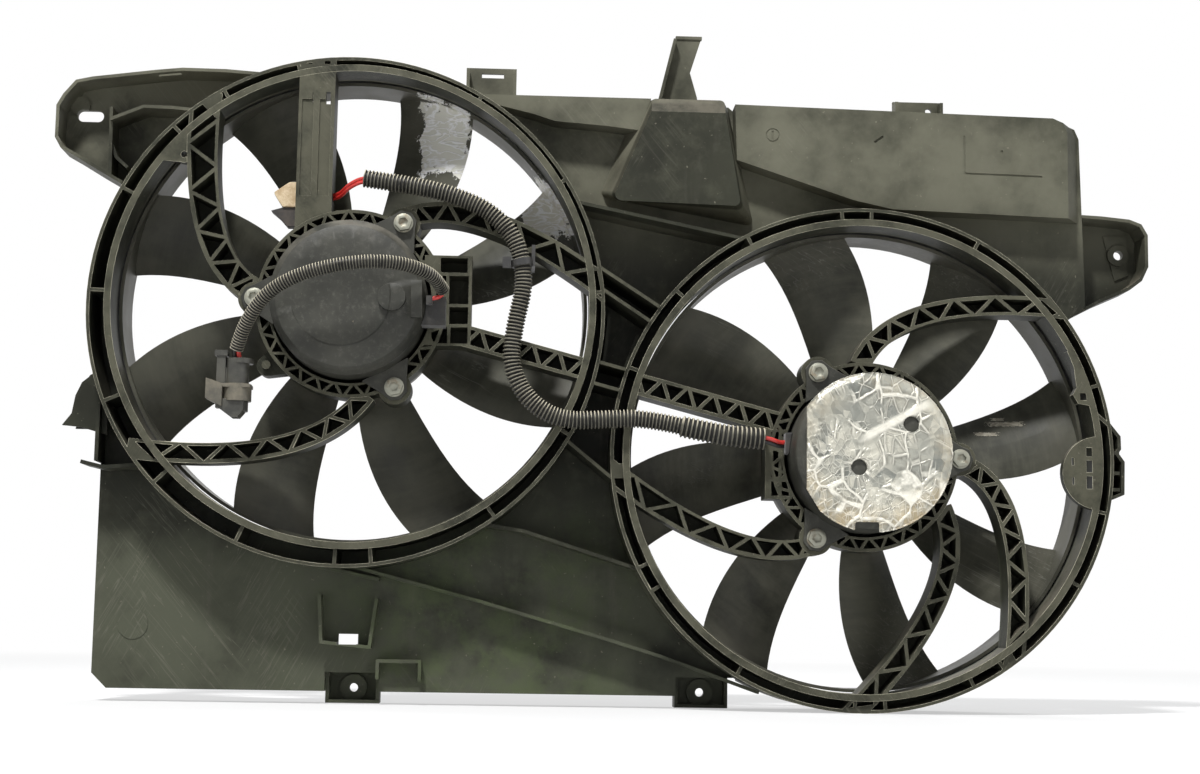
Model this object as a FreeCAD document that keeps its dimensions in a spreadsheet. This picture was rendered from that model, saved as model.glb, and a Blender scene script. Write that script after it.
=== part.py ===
import FreeCAD, Part
import math
import os
import Sketcher
from FreeCAD import Placement, Rotation, Vector

# Twin radiator cooling fan module, seen from behind: X to the right, Y forward to the radiator, Z up.
# All sizes in millimetres. The origin is under the middle of the module, at its lowest point.

doc = FreeCAD.newDocument("radiator_cooling_fan")
sheet = doc.addObject("Spreadsheet::Sheet", "Sizes")

SIZES = [
    # Fan axes and depths
    ("left_x", -170.0),
    ("left_z", 264.0),
    ("right_x", 172.0),
    ("right_z", 168.5),
    ("rim_y", -20.0),
    ("panel_y", 22.0),
    ("mating_y", 57.5),
    # Moulded walls
    ("panel_wall", 2.5),
    ("skirt_wall", 2.5),
    ("rib_wall", 2.2),
    ("seam", 0.02),
    # Fan barrels
    ("left_bore", 160.0),
    ("right_bore", 158.0),
    ("rim_step", 2.0),
    ("rim_step_y", 4.0),
    ("barrel_wall", 2.5),
    ("barrel_front_y", 46.0),
    ("bell_lip", 2.0),
    ("left_outer", 171.5),
    ("right_outer", 168.5),
    ("left_shift", 3.0),
    ("outer_wall", 2.2),
    ("outer_y", -17.0),
    # Motor carriers
    ("arm_depth", 22.0),
    ("arm_web", 2.0),
    ("basket_gap", 2.5),
    ("basket_ring", 9.5),
    ("lug_radius", 11.0),
    ("bolt_reach", 12.5),
    ("left_bolt_angle", 58.4),
    ("right_bolt_angle", -0.5),
    ("basket_cells", 27.0),
    ("top_strut_width", 24.0),
    ("cross_width", 14.5),
    # Motors
    ("yoke_radius", 51.0),
    ("yoke_wall", 2.2),
    ("yoke_back_y", -54.0),
    ("yoke_front_y", 2.0),
    ("left_dome_round", 15.0),
    ("right_dome_round", 4.5),
    ("ear_thick", 3.0),
    ("ear_tip", 9.0),
    ("cover_thick", 2.5),
    ("bearing_out", 11.0),
    ("bearing_len", 7.0),
    ("running_gap", 0.04),
    ("shaft_radius", 4.0),
    ("shaft_front_y", 41.0),
    ("magnet_thick", 4.5),
    ("magnet_slit", 9.0),
    ("glue_gap", 0.05),
    ("air_gap", 0.8),
    ("core_back_y", -34.0),
    ("core_front_y", -16.0),
    ("turns_inset", 4.4),
    ("turns_in", 22.0),
    ("turns_back", 7.0),
    ("turns_front", 5.5),
    ("commutator_radius", 14.0),
    ("commutator_back_y", -14.0),
    ("commutator_front_y", -4.2),
    ("card_thick", 2.0),
    ("card_y", -4.0),
    ("brush_length", 13.0),
    ("brush_width", 6.0),
    ("brush_height", 5.5),
    ("screw_radius", 2.6),
    ("screw_head", 5.2),
    ("screw_head_high", 4.0),
    ("screw_length", 17.0),
    # Fans
    ("tip_gap", 2.4),
    ("band_wall", 2.2),
    ("band_back_y", 8.0),
    ("band_front_y", 42.0),
    ("hub_radius", 60.0),
    ("hub_wall", 2.5),
    ("hub_back_y", 8.0),
    ("hub_front_y", 33.0),
    ("blade_count", 8.0),
    ("blade_thick", 2.4),
    ("blade_back_y", 12.0),
    ("blade_front_y", 38.0),
    ("left_blade_angle", 18.5),
    ("right_blade_angle", 6.0),
    ("blade_root_span", 31.0),
    ("blade_tip_span", 19.5),
    ("blade_sweep", 8.5),
    ("sleeve_radius", 9.0),
    ("nut_flats", 13.0),
    ("nut_high", 6.5),
    ("washer_radius", 8.5),
    ("washer_thick", 1.6),
    # Shroud outline
    ("panel_left", -338.0),
    ("panel_bottom", 8.5),
    ("panel_corner", 10.0),
    ("panel_top", 415.0),
    ("duct_left", 87.0),
    ("duct_right", 331.0),
    ("duct_top", 412.5),
    ("duct_fall", 4.0),
    ("duct_slant", 13.0),
    ("duct_y", 4.0),
    ("left_ear_reach", 33.8),
    ("right_ear_reach", 37.0),
    ("ear_y", 45.0),
    ("ear_wall", 3.0),
    ("ear_hole", 3.3),
    ("ear_slot_long", 18.0),
    ("ear_slot_high", 8.0),
    ("tab_hole", 2.9),
    ("tab_width", 36.0),
    ("left_tab_x", -165.5),
    ("right_tab_x", 69.5),
    ("tab_hole_z", 10.5),
    ("notch_over_hole", 10.5),
    ("horn_high", 56.5),
    # Harness
    ("conduit_radius", 6.0),
    ("sleeve_tube_radius", 7.2),
    ("pigtail_radius", 4.5),
    ("wire_radius", 1.5),
    ("tie_width", 4.6),
    ("connector_width", 20.0),
    ("connector_deep", 15.0),
    ("connector_long", 38.0),
    ("foil_over", 1.0),
    ("foil_thick", 1.2),
    ("foil_hole", 5.0),
    ("resistor_long", 33.0),
    ("resistor_high", 17.0),
    ("resistor_deep", 11.0),
]
for row, (alias, value) in enumerate(SIZES, start=1):
    sheet.set("A%d" % row, alias)
    sheet.set("B%d" % row, "%g" % value)
    sheet.setAlias("B%d" % row, alias)
doc.recompute()

FULL = 360.0
LEFT = "left"
RIGHT = "right"
sub_parts = []


def size(name):
    """A driving dimension, as the sheet holds it."""
    return float(sheet.get(name))


def cell(name):
    """The same dimension, as an expression names it."""
    return "Sizes." + name


def polar(radius, angle, x=0.0, z=0.0):
    """A point in the XZ plane, the angle counted from +X towards +Z."""
    turn = math.radians(angle)
    return (x + radius * math.cos(turn), z + radius * math.sin(turn))


def axis(side):
    """Where a fan's axis stands in the XZ plane."""
    return (size(side + "_x"), size(side + "_z"))


def bolt_circle():
    """Radius of the circle on which a motor's three screws stand."""
    return size("yoke_radius") + size("bolt_reach")


def basket_in():
    """Inner radius of a motor basket, clear of the yoke."""
    return size("yoke_radius") + size("basket_gap")


def basket_out():
    """Outer radius of a motor basket."""
    return basket_in() + size("basket_ring")


def keep(item, label):
    """Notes a finished sub-part under the name that its file gets."""
    item.Label = label
    sub_parts.append(item)
    return item


def keep_shape(label, shape, spot=(0.0, 0.0)):
    """A sub-part whose form is worked out from the sheet, placed at a spot of the XZ plane."""
    item = doc.addObject("Part::Feature", label)
    item.Shape = shape
    item.Placement = Placement(Vector(spot[0], 0, spot[1]), Rotation())
    return keep(item, label)


# Plain solids

def face_xz(points, y):
    """Flat face through points of the XZ plane, at depth y."""
    corners = [Vector(x, y, z) for x, z in points]
    return Part.Face(Part.makePolygon(corners + corners[:1]))


def slab(points, y_low, y_high):
    """Straight-sided block with the given outline, from y_low to y_high."""
    return face_xz(points, y_low).extrude(Vector(0, y_high - y_low, 0))


def disc(radius, y_low, y_high, centre=(0.0, 0.0)):
    """Cylinder along Y."""
    start = Vector(centre[0], y_low, centre[1])
    return Part.makeCylinder(radius, y_high - y_low, start, Vector(0, 1, 0))


def tube(outer, inner, y_low, y_high, centre=(0.0, 0.0)):
    """Ring along Y."""
    return disc(outer, y_low, y_high, centre).cut(disc(inner, y_low - 1, y_high + 1, centre))


def block(x_low, x_high, y_low, y_high, z_low, z_high):
    """Box between two corners."""
    return Part.makeBox(x_high - x_low, y_high - y_low, z_high - z_low, Vector(x_low, y_low, z_low))


def bar_points(start, end, width):
    """The four corners of a straight bar of the given width in the XZ plane."""
    along = Vector(end[0] - start[0], 0, end[1] - start[1]).normalize()
    side = Vector(-along.z, 0, along.x) * (width / 2)
    return [
        (start[0] + side.x, start[1] + side.z),
        (start[0] - side.x, start[1] - side.z),
        (end[0] - side.x, end[1] - side.z),
        (end[0] + side.x, end[1] + side.z),
    ]


def walls(points, y_low, y_high, width):
    """Upstanding wall along a line of points."""
    bars = [slab(bar_points(a, b, width), y_low, y_high) for a, b in zip(points, points[1:])]
    knees = [disc(width / 2, y_low, y_high, p) for p in points[1:-1]]
    return bars + knees


def inset(points, gaps):
    """Convex outline moved inwards, each side by its own gap; the points run anticlockwise."""
    moved = []
    count = len(points)
    lines = []
    for i in range(count):
        (ax, az), (bx, bz) = points[i], points[(i + 1) % count]
        length = math.hypot(bx - ax, bz - az)
        nx, nz = -(bz - az) / length, (bx - ax) / length
        lines.append((nx, nz, nx * ax + nz * az + gaps[i]))
    for i in range(count):
        (a1, b1, c1), (a2, b2, c2) = lines[i - 1], lines[i]
        det = a1 * b2 - a2 * b1
        moved.append(((c1 * b2 - c2 * b1) / det, (a1 * c2 - a2 * c1) / det))
    return moved


def anticlockwise(points):
    """The same outline, turned to run anticlockwise in the XZ plane."""
    area = 0.0
    for (ax, az), (bx, bz) in zip(points, points[1:] + points[:1]):
        area += ax * bz - bx * az
    return points if area > 0 else points[::-1]


def shrunk(points, gap):
    """An outline moved inwards by one gap all round."""
    face = face_xz(points, 0.0)
    smaller = face.makeOffset2D(-gap)
    return [(v.X, v.Z) for v in smaller.OuterWire.OrderedVertexes]


def fused(shapes):
    """One solid from several that touch."""
    first = shapes[0]
    joined = first.multiFuse(shapes[1:]) if len(shapes) > 1 else first
    return joined.removeSplitter()


# Bodies with a sketched outline bound to the sheet

def origin_plane(body, role):
    """One of a body's own origin planes."""
    return [item for item in body.Origin.OriginFeatures if item.Role == role][0]


def bind(sketch, kind, geometry, point, value, expression):
    """Fixes a coordinate of a sketch by an expression of the sheet's cells."""
    index = sketch.addConstraint(Sketcher.Constraint(kind, -1, 1, geometry, point, value))
    sketch.setExpression("Constraints[%d]" % index, expression)


def outline_sketch(body, name, role, corners, level=None):
    """Closed outline whose corners are pairs of expressions."""
    sketch = body.newObject("Sketcher::SketchObject", name)
    sketch.AttachmentSupport = [(origin_plane(body, role), "")]
    sketch.MapMode = "FlatFace"
    if level:
        sketch.setExpression("AttachmentOffset.Base.z", level)
    count = len(corners)
    spots = []
    for i in range(count):
        across, up = polar(5.0, i * FULL / count)
        spots.append(Vector(across + 20.0, up, 0))
    for i in range(count):
        sketch.addGeometry(Part.LineSegment(spots[i], spots[(i + 1) % count]), False)
    for i in range(count):
        sketch.addConstraint(Sketcher.Constraint("Coincident", i, 2, (i + 1) % count, 1))
    for i, (across, up) in enumerate(corners):
        bind(sketch, "DistanceX", i, 1, spots[i].x, across)
        bind(sketch, "DistanceY", i, 1, spots[i].y, up)
    return sketch


def round_sketch(body, name, circles, level):
    """Circles in the XZ plane, each an expression for radius, across and up."""
    sketch = body.newObject("Sketcher::SketchObject", name)
    sketch.AttachmentSupport = [(origin_plane(body, "XZ_Plane"), "")]
    sketch.MapMode = "FlatFace"
    sketch.setExpression("AttachmentOffset.Base.z", level)
    for radius, across, up in circles:
        circle = Part.Circle(Vector(1, 1, 0), Vector(0, 0, 1), 10)
        geometry = sketch.addGeometry(circle, False)
        index = sketch.addConstraint(Sketcher.Constraint("Radius", geometry, 10))
        sketch.setExpression("Constraints[%d]" % index, radius)
        bind(sketch, "DistanceX", geometry, 3, 1, across)
        bind(sketch, "DistanceY", geometry, 3, 1, up)
    return sketch


def new_body(label, side=None, turn=None):
    """Body that stands on a fan's axis, turned about it where asked."""
    body = doc.addObject("PartDesign::Body", label)
    if side:
        body.Placement = Placement(Vector(1, 0, 1), Rotation(Vector(0, -1, 0), 10.0 if turn else 0.0))
        body.setExpression("Placement.Base.x", cell(side + "_x"))
        body.setExpression("Placement.Base.z", cell(side + "_z"))
        if turn:
            body.setExpression("Placement.Rotation.Angle", turn)
    return keep(body, label)


def turned(body, name, corners):
    """Revolves an outline of (radius, y) corners about the body's Y axis."""
    sketch = outline_sketch(body, name + "_profile", "XY_Plane", corners)
    feature = body.newObject("PartDesign::Revolution", name)
    feature.Profile = sketch
    feature.ReferenceAxis = (sketch, ["V_Axis"])
    feature.Angle = FULL
    return feature


def padded(body, name, sketch, length):
    """Pad from the sketch's level towards -Y."""
    feature = body.newObject("PartDesign::Pad", name)
    feature.Profile = sketch
    feature.setExpression("Length", length)
    return feature


def pocketed(body, name, sketch, length):
    """Pocket from the sketch's level towards +Y; the volume is compared when all is built."""
    feature = body.newObject("PartDesign::Pocket", name)
    feature.Profile = sketch
    feature.setExpression("Length", length)
    return feature


def patterned(body, name, feature, sketch, count):
    """Copies a feature round the body's Y axis."""
    pattern = body.newObject("PartDesign::PolarPattern", name)
    pattern.Originals = [feature]
    pattern.Axis = (sketch, ["N_Axis"])
    pattern.Angle = FULL
    pattern.Occurrences = count
    body.Tip = pattern
    return pattern


# Fan barrels: stepped rim, channel and bell lip, with short ribs across the channel

CHANNEL_RIBS = {
    LEFT: (4.0, 32.0, 60.0, 96.0, 104.0, 122.0, 136.0, 154.0, 178.0, 203.0, 224.0, 246.0, 268.0, 276.0, 305.0, 330.0),
    RIGHT: (18.0, 37.0, 62.0, 88.0, 95.0, 118.0, 139.0, 160.0, 183.0, 207.0, 213.0, 240.0, 268.0, 275.0, 296.0, 304.0,
            330.0, 348.0),
}


def outer_centre(side):
    """Centre of the barrel's outer wall; the left one sits a little low and outboard."""
    x, z = axis(side)
    shift = size("left_shift") if side == LEFT else 0.0
    return (x - shift, z - shift)


def barrel(side):
    centre = axis(side)
    bore = size(side + "_bore")
    wall = size("barrel_wall")
    rim = size("rim_y")
    floor = size("panel_y")
    front = size("barrel_front_y")
    outer = size(side + "_outer")
    outer_at = outer_centre(side)
    back = size("outer_y")
    plate = floor + size("panel_wall")
    parts = [
        tube(bore + wall, bore - size("rim_step"), rim, size("rim_step_y"), centre),
        tube(bore + wall, bore, size("rim_step_y"), front, centre),
        tube(bore + wall + size("bell_lip"), bore, front - wall, front, centre),
        tube(outer, outer - size("outer_wall"), back, plate, outer_at),
        disc(outer, floor, plate, outer_at).cut(disc(bore + wall / 2, floor - 1, plate + 1, centre)),
    ]
    channel = disc(outer - size("outer_wall") / 2, back, floor + 1, outer_at)
    channel = channel.cut(disc(bore + wall / 2, back - 1, floor + 2, centre))
    for angle in CHANNEL_RIBS[side]:
        ends = (polar(bore, angle, *centre), polar(outer + size("left_shift") * 2, angle, *centre))
        parts.append(slab(bar_points(ends[0], ends[1], size("rib_wall")), back, floor + 1).common(channel))
    for label in ARMS:
        if ARMS[label][0] == side:
            parts += truss(*arm_plan(label)).common(channel).Solids
    if side == LEFT:
        parts += strut_root(channel) + rim_lug()
    else:
        parts += rim_grille(channel)
    keep_shape(side + "_fan_barrel", fused(parts))


def strut_root(channel):
    """The top strut's end, carried on across the channel, with its two small windows."""
    low_x, high_x = top_strut_box()
    top = size("left_z") + size("left_outer")
    back = size("outer_y")
    front = size("rim_step_y")
    solid = block(low_x, high_x, back, front, size("left_z") + size("left_bore") - 10.0, top + 5.0)
    windows = [block(x, x + 4.0, back - 1, front + 1, top - 8.5, top - 5.0) for x in (low_x + 4.0, high_x - 8.0)]
    return solid.common(channel).cut(windows).Solids


def rim_lug():
    """Small drilled lug on the left rim's inner edge, with its web, beside the upper left arm."""
    x, z = axis(LEFT)
    rim = size("rim_y")
    bore = size("left_bore") - size("rim_step")
    spot = polar(bore - 8.0, 139.3, x, z)
    web = slab([polar(bore + 1, angle, x, z) for angle in (133.0, 138.0, 144.0)] + [polar(bore - 9.0, 141.5, x, z),
               polar(bore - 17.0, 137.0, x, z)], rim, rim + 3.0)
    lug = fused([web, disc(5.5, rim, rim + 7.0, spot)])
    lug = lug.cut([disc(2.2, rim - 1, rim + 8.0, spot), truss_block(*arm_plan("left_upper_left_arm"))])
    return [biggest(lug)]


def rim_grille(channel):
    """Right rim's windowed round plate and, above it, a forked lug with a square hole."""
    x, z = axis(RIGHT)
    rim = size("rim_y")
    edge = size("right_bore")
    inside = disc(edge + 1.0, rim - 1, rim + 9.0, (x, z))
    spot = (x + edge - 0.5, z - 8.0)
    plate = fused([disc(24.6, rim, rim + 3.0, spot), tube(24.6, 22.6, rim, rim + 7.0, spot)])
    windows = [(-9.0, -5.0, 3.0, 9.0), (-9.0, -5.0, -7.5, 0.5), (-9.0, -5.0, -18.5, -10.0),
               (-19.0, -17.4, -3.0, 2.0), (-18.6, -17.2, -16.0, -11.0)]
    cuts = [block(x + edge + a, x + edge + b, rim - 1, rim + 4.0, z + c, z + d) for a, b, c, d in windows]
    frame = slab([(x + edge + a, z + b) for a, b in ((-17.5, 44.5), (-14.0, 38.5), (-5.0, 37.0), (0.0, 38.0), (2.0, 46.0),
                  (-5.0, 49.5), (-13.0, 52.5))], rim, rim + 8.0)
    frame = frame.cut(block(x + edge - 12.6, x + edge - 8.2, rim - 1, rim + 9.0, z + 40.8, z + 45.5))
    branch = walls([(x + edge - 19.0, z + 74.5), (x + edge - 14.5, z + 63.5), (x + edge - 13.0, z + 50.0)], rim, rim + 8.0, 4.2)
    prong = walls([(x + edge - 8.5, z + 66.5), (x + edge - 12.0, z + 55.0)], rim, rim + 8.0, 3.0)
    link = walls([(x + edge - 8.0, z + 38.5), (x + edge + 8.0, z + 24.0)], size("outer_y"), size("panel_y") + 1,
                 size("rib_wall"))
    lug = fused([frame] + branch + prong).common(inside)
    return [plate.common(inside).cut(cuts), biggest(lug)] + [item.common(channel) for item in link]


# Carrier arms: curved trusses of triangular cells, closed on the fan's side by a thin web

def bezier(points, share):
    """Point of a quadratic curve."""
    (ax, az), (bx, bz), (cx, cz) = points
    rest = 1 - share
    across = rest * rest * ax + 2 * rest * share * bx + share * share * cx
    up = rest * rest * az + 2 * rest * share * bz + share * share * cz
    return (across, up)


def edge_line(guide, stations, offset):
    """Points beside the curve, at a signed distance."""
    points = []
    for share in stations:
        here = bezier(guide, share)
        ahead = bezier(guide, share + 0.001)
        length = math.hypot(ahead[0] - here[0], ahead[1] - here[1])
        nx, nz = -(ahead[1] - here[1]) / length, (ahead[0] - here[0]) / length
        points.append((here[0] + offset * nx, here[1] + offset * nz))
    return points


def smooth_edge(points, y):
    """Smooth edge through points of the XZ plane."""
    if len(points) == 2:
        return Part.LineSegment(Vector(points[0][0], y, points[0][1]), Vector(points[1][0], y, points[1][1])).toShape()
    curve = Part.BSplineCurve()
    curve.interpolate([Vector(x, y, z) for x, z in points])
    return curve.toShape()


def rail_points(guide, start_width, end_width, cells):
    """The stations of a truss's two edges."""
    rails = {}
    for sign in (1, -1):
        rails[sign] = []
        for i in range(cells + 1):
            half = (start_width + (end_width - start_width) * i / cells) / 2
            rails[sign].append(edge_line(guide, [i / cells], sign * half)[0])
    return rails


def truss_block(guide, start_width, end_width, cells):
    """The whole of a truss between its edges, without its cells."""
    rails = rail_points(guide, start_width, end_width, cells)
    y_low = size("rim_y")
    first = smooth_edge(rails[1], y_low)
    second = smooth_edge(rails[-1][::-1], y_low)
    far = smooth_edge([rails[1][-1], rails[-1][-1]], y_low)
    near = smooth_edge([rails[-1][0], rails[1][0]], y_low)
    outline = Part.Face(Part.Wire([first, far, second, near]))
    return outline.extrude(Vector(0, size("arm_depth"), 0))


def truss(guide, start_width, end_width, cells):
    """Truss along a curve, from the basket to the rim, with zigzag ribs between its two edges."""
    rib = size("rib_wall")
    rim = size("rim_y")
    web = rim + size("arm_depth") - size("arm_web")
    rails = rail_points(guide, start_width, end_width, cells)
    pockets = []
    for i in range(cells - 1):
        sign = 1 if i % 2 == 0 else -1
        corners = [rails[sign][i], rails[-sign][i + 1], rails[sign][i + 2]]
        gaps = [rib / 2, rib / 2, rib]
        if anticlockwise(corners) != corners:
            corners = corners[::-1]
            gaps = [rib / 2, rib / 2, rib]
        pockets.append(slab(inset(corners, gaps), rim - 1, web))
    return truss_block(guide, start_width, end_width, cells).cut(pockets)


ARMS = {
    # name: side, basket angle, (bend radius, bend angle), rim angle, width at basket, width at rim, cells
    "left_upper_left_arm": (LEFT, 174.7, (111.6, 167.4), 125.4, 17.0, 21.0, 12),
    "left_upper_right_arm": (LEFT, 63.7, (112.6, 47.4), 3.4, 13.0, 17.0, 13),
    "left_lower_arm": (LEFT, -79.2, (114.6, -102.2), -145.4, 13.0, 13.5, 13),
    "right_upper_arm": (RIGHT, 92.4, (114.2, 80.0), 36.5, 14.0, 13.0, 13),
    "right_outer_arm": (RIGHT, -2.4, (116.1, -8.0), -54.9, 13.0, 14.0, 14),
    "right_inner_arm": (RIGHT, -32.3, (114.6, -48.5), -93.4, 13.0, 14.0, 13),
    "right_lower_arm": (RIGHT, -114.5, (112.4, -133.4), -176.5, 12.0, 16.0, 12),
}
ARM_REACH = 16.0


def ring_gap(side, label_radius_in, label_radius_out):
    """Everything between two radii round a fan axis, as a trimming tool."""
    centre = axis(side)
    return tube(label_radius_out, label_radius_in, size("rim_y") - 1, size("rim_y") + size("arm_depth") + 1, centre)


def rim_inner(side):
    return size(side + "_bore") - size("rim_step")


def lug_tool(side, grow=0.0):
    """The three bolt bosses of a basket, as cylinders."""
    low = size("rim_y") - grow
    high = size("rim_y") + size("arm_depth") + grow
    start = size(side + "_bolt_angle")
    centre = axis(side)
    bosses = []
    for i in range(3):
        spot = polar(bolt_circle(), start + i * FULL / 3, *centre)
        bosses.append(disc(size("lug_radius"), low, high, spot))
    return bosses


def arm_plan(label):
    """An arm's guide curve, its widths at both ends and its count of cells."""
    side, near_angle, bend, rim_angle, start_width, end_width, cells = ARMS[label]
    x, z = axis(side)
    near = polar(basket_out() - 1.5, near_angle, x, z)
    middle = polar(bend[0], bend[1], x, z)
    far = polar(rim_inner(side) + ARM_REACH, rim_angle, x, z)
    return (near, middle, far), start_width, end_width, cells


def arm(label):
    side = ARMS[label][0]
    solid = truss(*arm_plan(label))
    solid = solid.common(ring_gap(side, basket_out() + size("seam"), rim_inner(side) - size("seam")))
    solid = solid.cut(lug_tool(side, 1.0) + guide_tool(side))
    keep_shape(label, biggest(solid))


def biggest(shape):
    """The largest solid of a cut shape, leaving slivers out."""
    return max(shape.Solids, key=lambda solid: solid.Volume)


def strut_ends():
    """The cross strut's centre line, from the left basket to the right one."""
    left = axis(LEFT)
    right = axis(RIGHT)
    return (left[0] + 50.0, left[1] - 13.5), (right[0] - 50.0, right[1] + 19.5)


def cross_strut():
    start, end = strut_ends()
    centre = ((start[0] + end[0]) / 2, (start[1] + end[1]) / 2)
    solid = truss((start, centre, end), size("cross_width"), size("cross_width"), 28)
    halves = []
    for side in (LEFT, RIGHT):
        piece = solid.common(ring_gap(side, basket_out() + size("seam"), rim_inner(side) - size("seam")))
        piece = piece.cut(lug_tool(side, 1.0) + guide_tool(side))
        halves.append(biggest(piece))
    keep_shape("cross_strut", Part.makeCompound(halves))


STRUT_OFFSET = -27.0


def top_strut_box():
    """Left and right face of the upright channel strut over the left motor."""
    x = size("left_x") + STRUT_OFFSET
    half = size("top_strut_width") / 2
    return (x - half, x + half)


def resistor_box():
    """Low and high corner of the ceramic resistor that sits in the strut's channel."""
    low_x = top_strut_box()[0] - 15.0
    z = size("left_z") + basket_out() + 2.5
    y = size("rim_y") + 7.0
    low = (low_x, y, z)
    high = (low_x + size("resistor_long"), y + size("resistor_deep"), z + size("resistor_high"))
    return low, high


def top_strut():
    """Channel strut, open towards the fan, with two sunk panels, a ridge and small windows."""
    low_x, high_x = top_strut_box()
    rim = size("rim_y")
    front = rim + size("arm_depth")
    wall = size("rib_wall")
    z_low = size("left_z")
    z_high = size("left_z") + size("left_bore")
    solid = block(low_x, high_x, rim, front, z_low, z_high)
    middle = (low_x + high_x) / 2
    hollow = block(low_x + wall, high_x - wall, rim + 2 * wall, front + 1, z_low + 62, z_high - 12)
    sunk_left = block(low_x + wall, middle - 2.0, rim - 1, rim + 1.2, z_low + 72, z_high - 22)
    sunk_right = block(middle + 2.0, high_x - wall, rim - 1, rim + 1.2, z_low + 72, z_high - 22)
    window_left = block(low_x + 9.0, middle - 2.6, rim - 1, front + 1, z_high - 25, z_high - 17)
    window_right = block(high_x - 6.0, high_x - 3.0, rim - 1, front + 1, z_high - 25, z_high - 17)
    (rx, ry, rz), (sx, sy, sz) = resistor_box()
    gap = 0.3
    notch = block(rx - 1, sx + gap, ry - gap, front + 1, rz - gap, sz + gap)
    lead_way = block(sx, high_x + 1, ry + 2, front + 1, rz + 5, rz + 11)
    solid = solid.cut([hollow, sunk_left, sunk_right, window_left, window_right, notch, lead_way])
    solid = solid.common(ring_gap(LEFT, basket_out() + size("seam"), rim_inner(LEFT) - size("seam")))
    solid = solid.cut(lug_tool(LEFT, 1.0))
    keep_shape("left_top_strut", biggest(solid))


# Baskets: a ring of small triangular cells round each motor, three bolt bosses and a lead guide

GUIDE = {
    # low x, high x, low z, high z from the fan axis
    LEFT: (48.0, 79.5, -27.0, 33.5),
    RIGHT: (-66.0, -48.0, -29.0, 17.0),
}
GUIDE_CELLS = {
    LEFT: ((58.5, 76.5, 22.0, 32.0), (64.5, 77.5, 1.0, 20.0), (65.0, 77.5, -12.5, -1.0), (56.0, 62.5, -12.5, 20.0),
           (53.5, 64.0, -25.5, -14.5), (66.0, 77.5, -25.5, -14.5)),
    RIGHT: ((-62.0, -57.0, -27.0, -17.5), (-62.0, -57.0, -14.5, 3.0), (-62.0, -57.0, 5.5, 15.5),
            (-55.0, -50.0, -27.0, -17.5), (-55.0, -50.0, -14.5, 3.0), (-55.0, -50.0, 5.5, 15.5)),
}


def guide_tool(side):
    """The block that the lead guide of a basket takes up."""
    low_x, high_x, low_z, high_z = GUIDE[side]
    x, z = axis(side)
    low = size("rim_y") - 1
    high = size("rim_y") + size("arm_depth") + 1
    return [block(x + low_x, x + high_x, low, high, z + low_z, z + high_z)]


def lead_guide(side):
    """Open cells beside the basket, where the motor's leads come out."""
    low_x, high_x, low_z, high_z = GUIDE[side]
    x, z = axis(side)
    rim = size("rim_y")
    front = rim + size("arm_depth")
    solid = block(x + low_x, x + high_x, rim, front, z + low_z, z + high_z)
    floor = front - size("arm_web")
    cells = [block(x + a, x + b, rim - 1, floor, z + c, z + d) for a, b, c, d in GUIDE_CELLS[side]]
    return solid.cut(cells)


def basket(side):
    centre = axis(side)
    rim = size("rim_y")
    front = rim + size("arm_depth")
    wall = size("rib_wall") * 0.8
    inner = basket_in()
    outer = basket_out()
    ring = tube(outer, inner, rim, front, centre)
    cells = []
    count = int(size("basket_cells")) * 2
    for i in range(count):
        radii = (inner, outer) if i % 2 else (outer, inner)
        turn = FULL / count
        corners = [polar(radii[0], i * turn), polar(radii[1], (i + 1) * turn), polar(radii[0], (i + 2) * turn)]
        corners = [(centre[0] + a, centre[1] + b) for a, b in corners]
        gaps = [wall / 2, wall / 2, wall]
        if anticlockwise(corners) != corners:
            corners = corners[::-1]
        cells.append(slab(inset(corners, gaps), rim - 1, front - size("arm_web")))
    ring = ring.cut(cells)
    parts = [ring, lead_guide(side)] + lug_tool(side)
    if side == LEFT:
        parts += basket_lug(centre)
    solid = fused(parts)
    start = size(side + "_bolt_angle")
    holes = [disc(inner, rim - 1, front + 1, centre)]
    for i in range(3):
        spot = polar(bolt_circle(), start + i * FULL / 3, *centre)
        holes.append(disc(size("screw_radius") + size("running_gap"), rim - 1, front + 1, spot))
    keep_shape(side + "_motor_basket", solid.cut(holes))


def basket_lug(centre):
    """Blind lug with a knob at the lower left of the left basket."""
    rim = size("rim_y")
    front = rim + size("arm_depth")
    spot = polar(basket_out() + 6.0, 217.5, *centre)
    web = slab([polar(basket_out() - 2.0, 209.0, *centre), polar(basket_out() - 2.0, 230.0, *centre),
                polar(basket_out() + 9.0, 222.5, *centre), polar(basket_out() + 9.0, 213.0, *centre)][::-1], rim + 8.0, front)
    return [web, disc(6.8, rim + 8.0, front, spot), disc(2.8, rim + 2.0, front, spot)]


# Motors: drawn steel yoke with three ears, end cover, magnets, armature, brush gear and bearings

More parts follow.
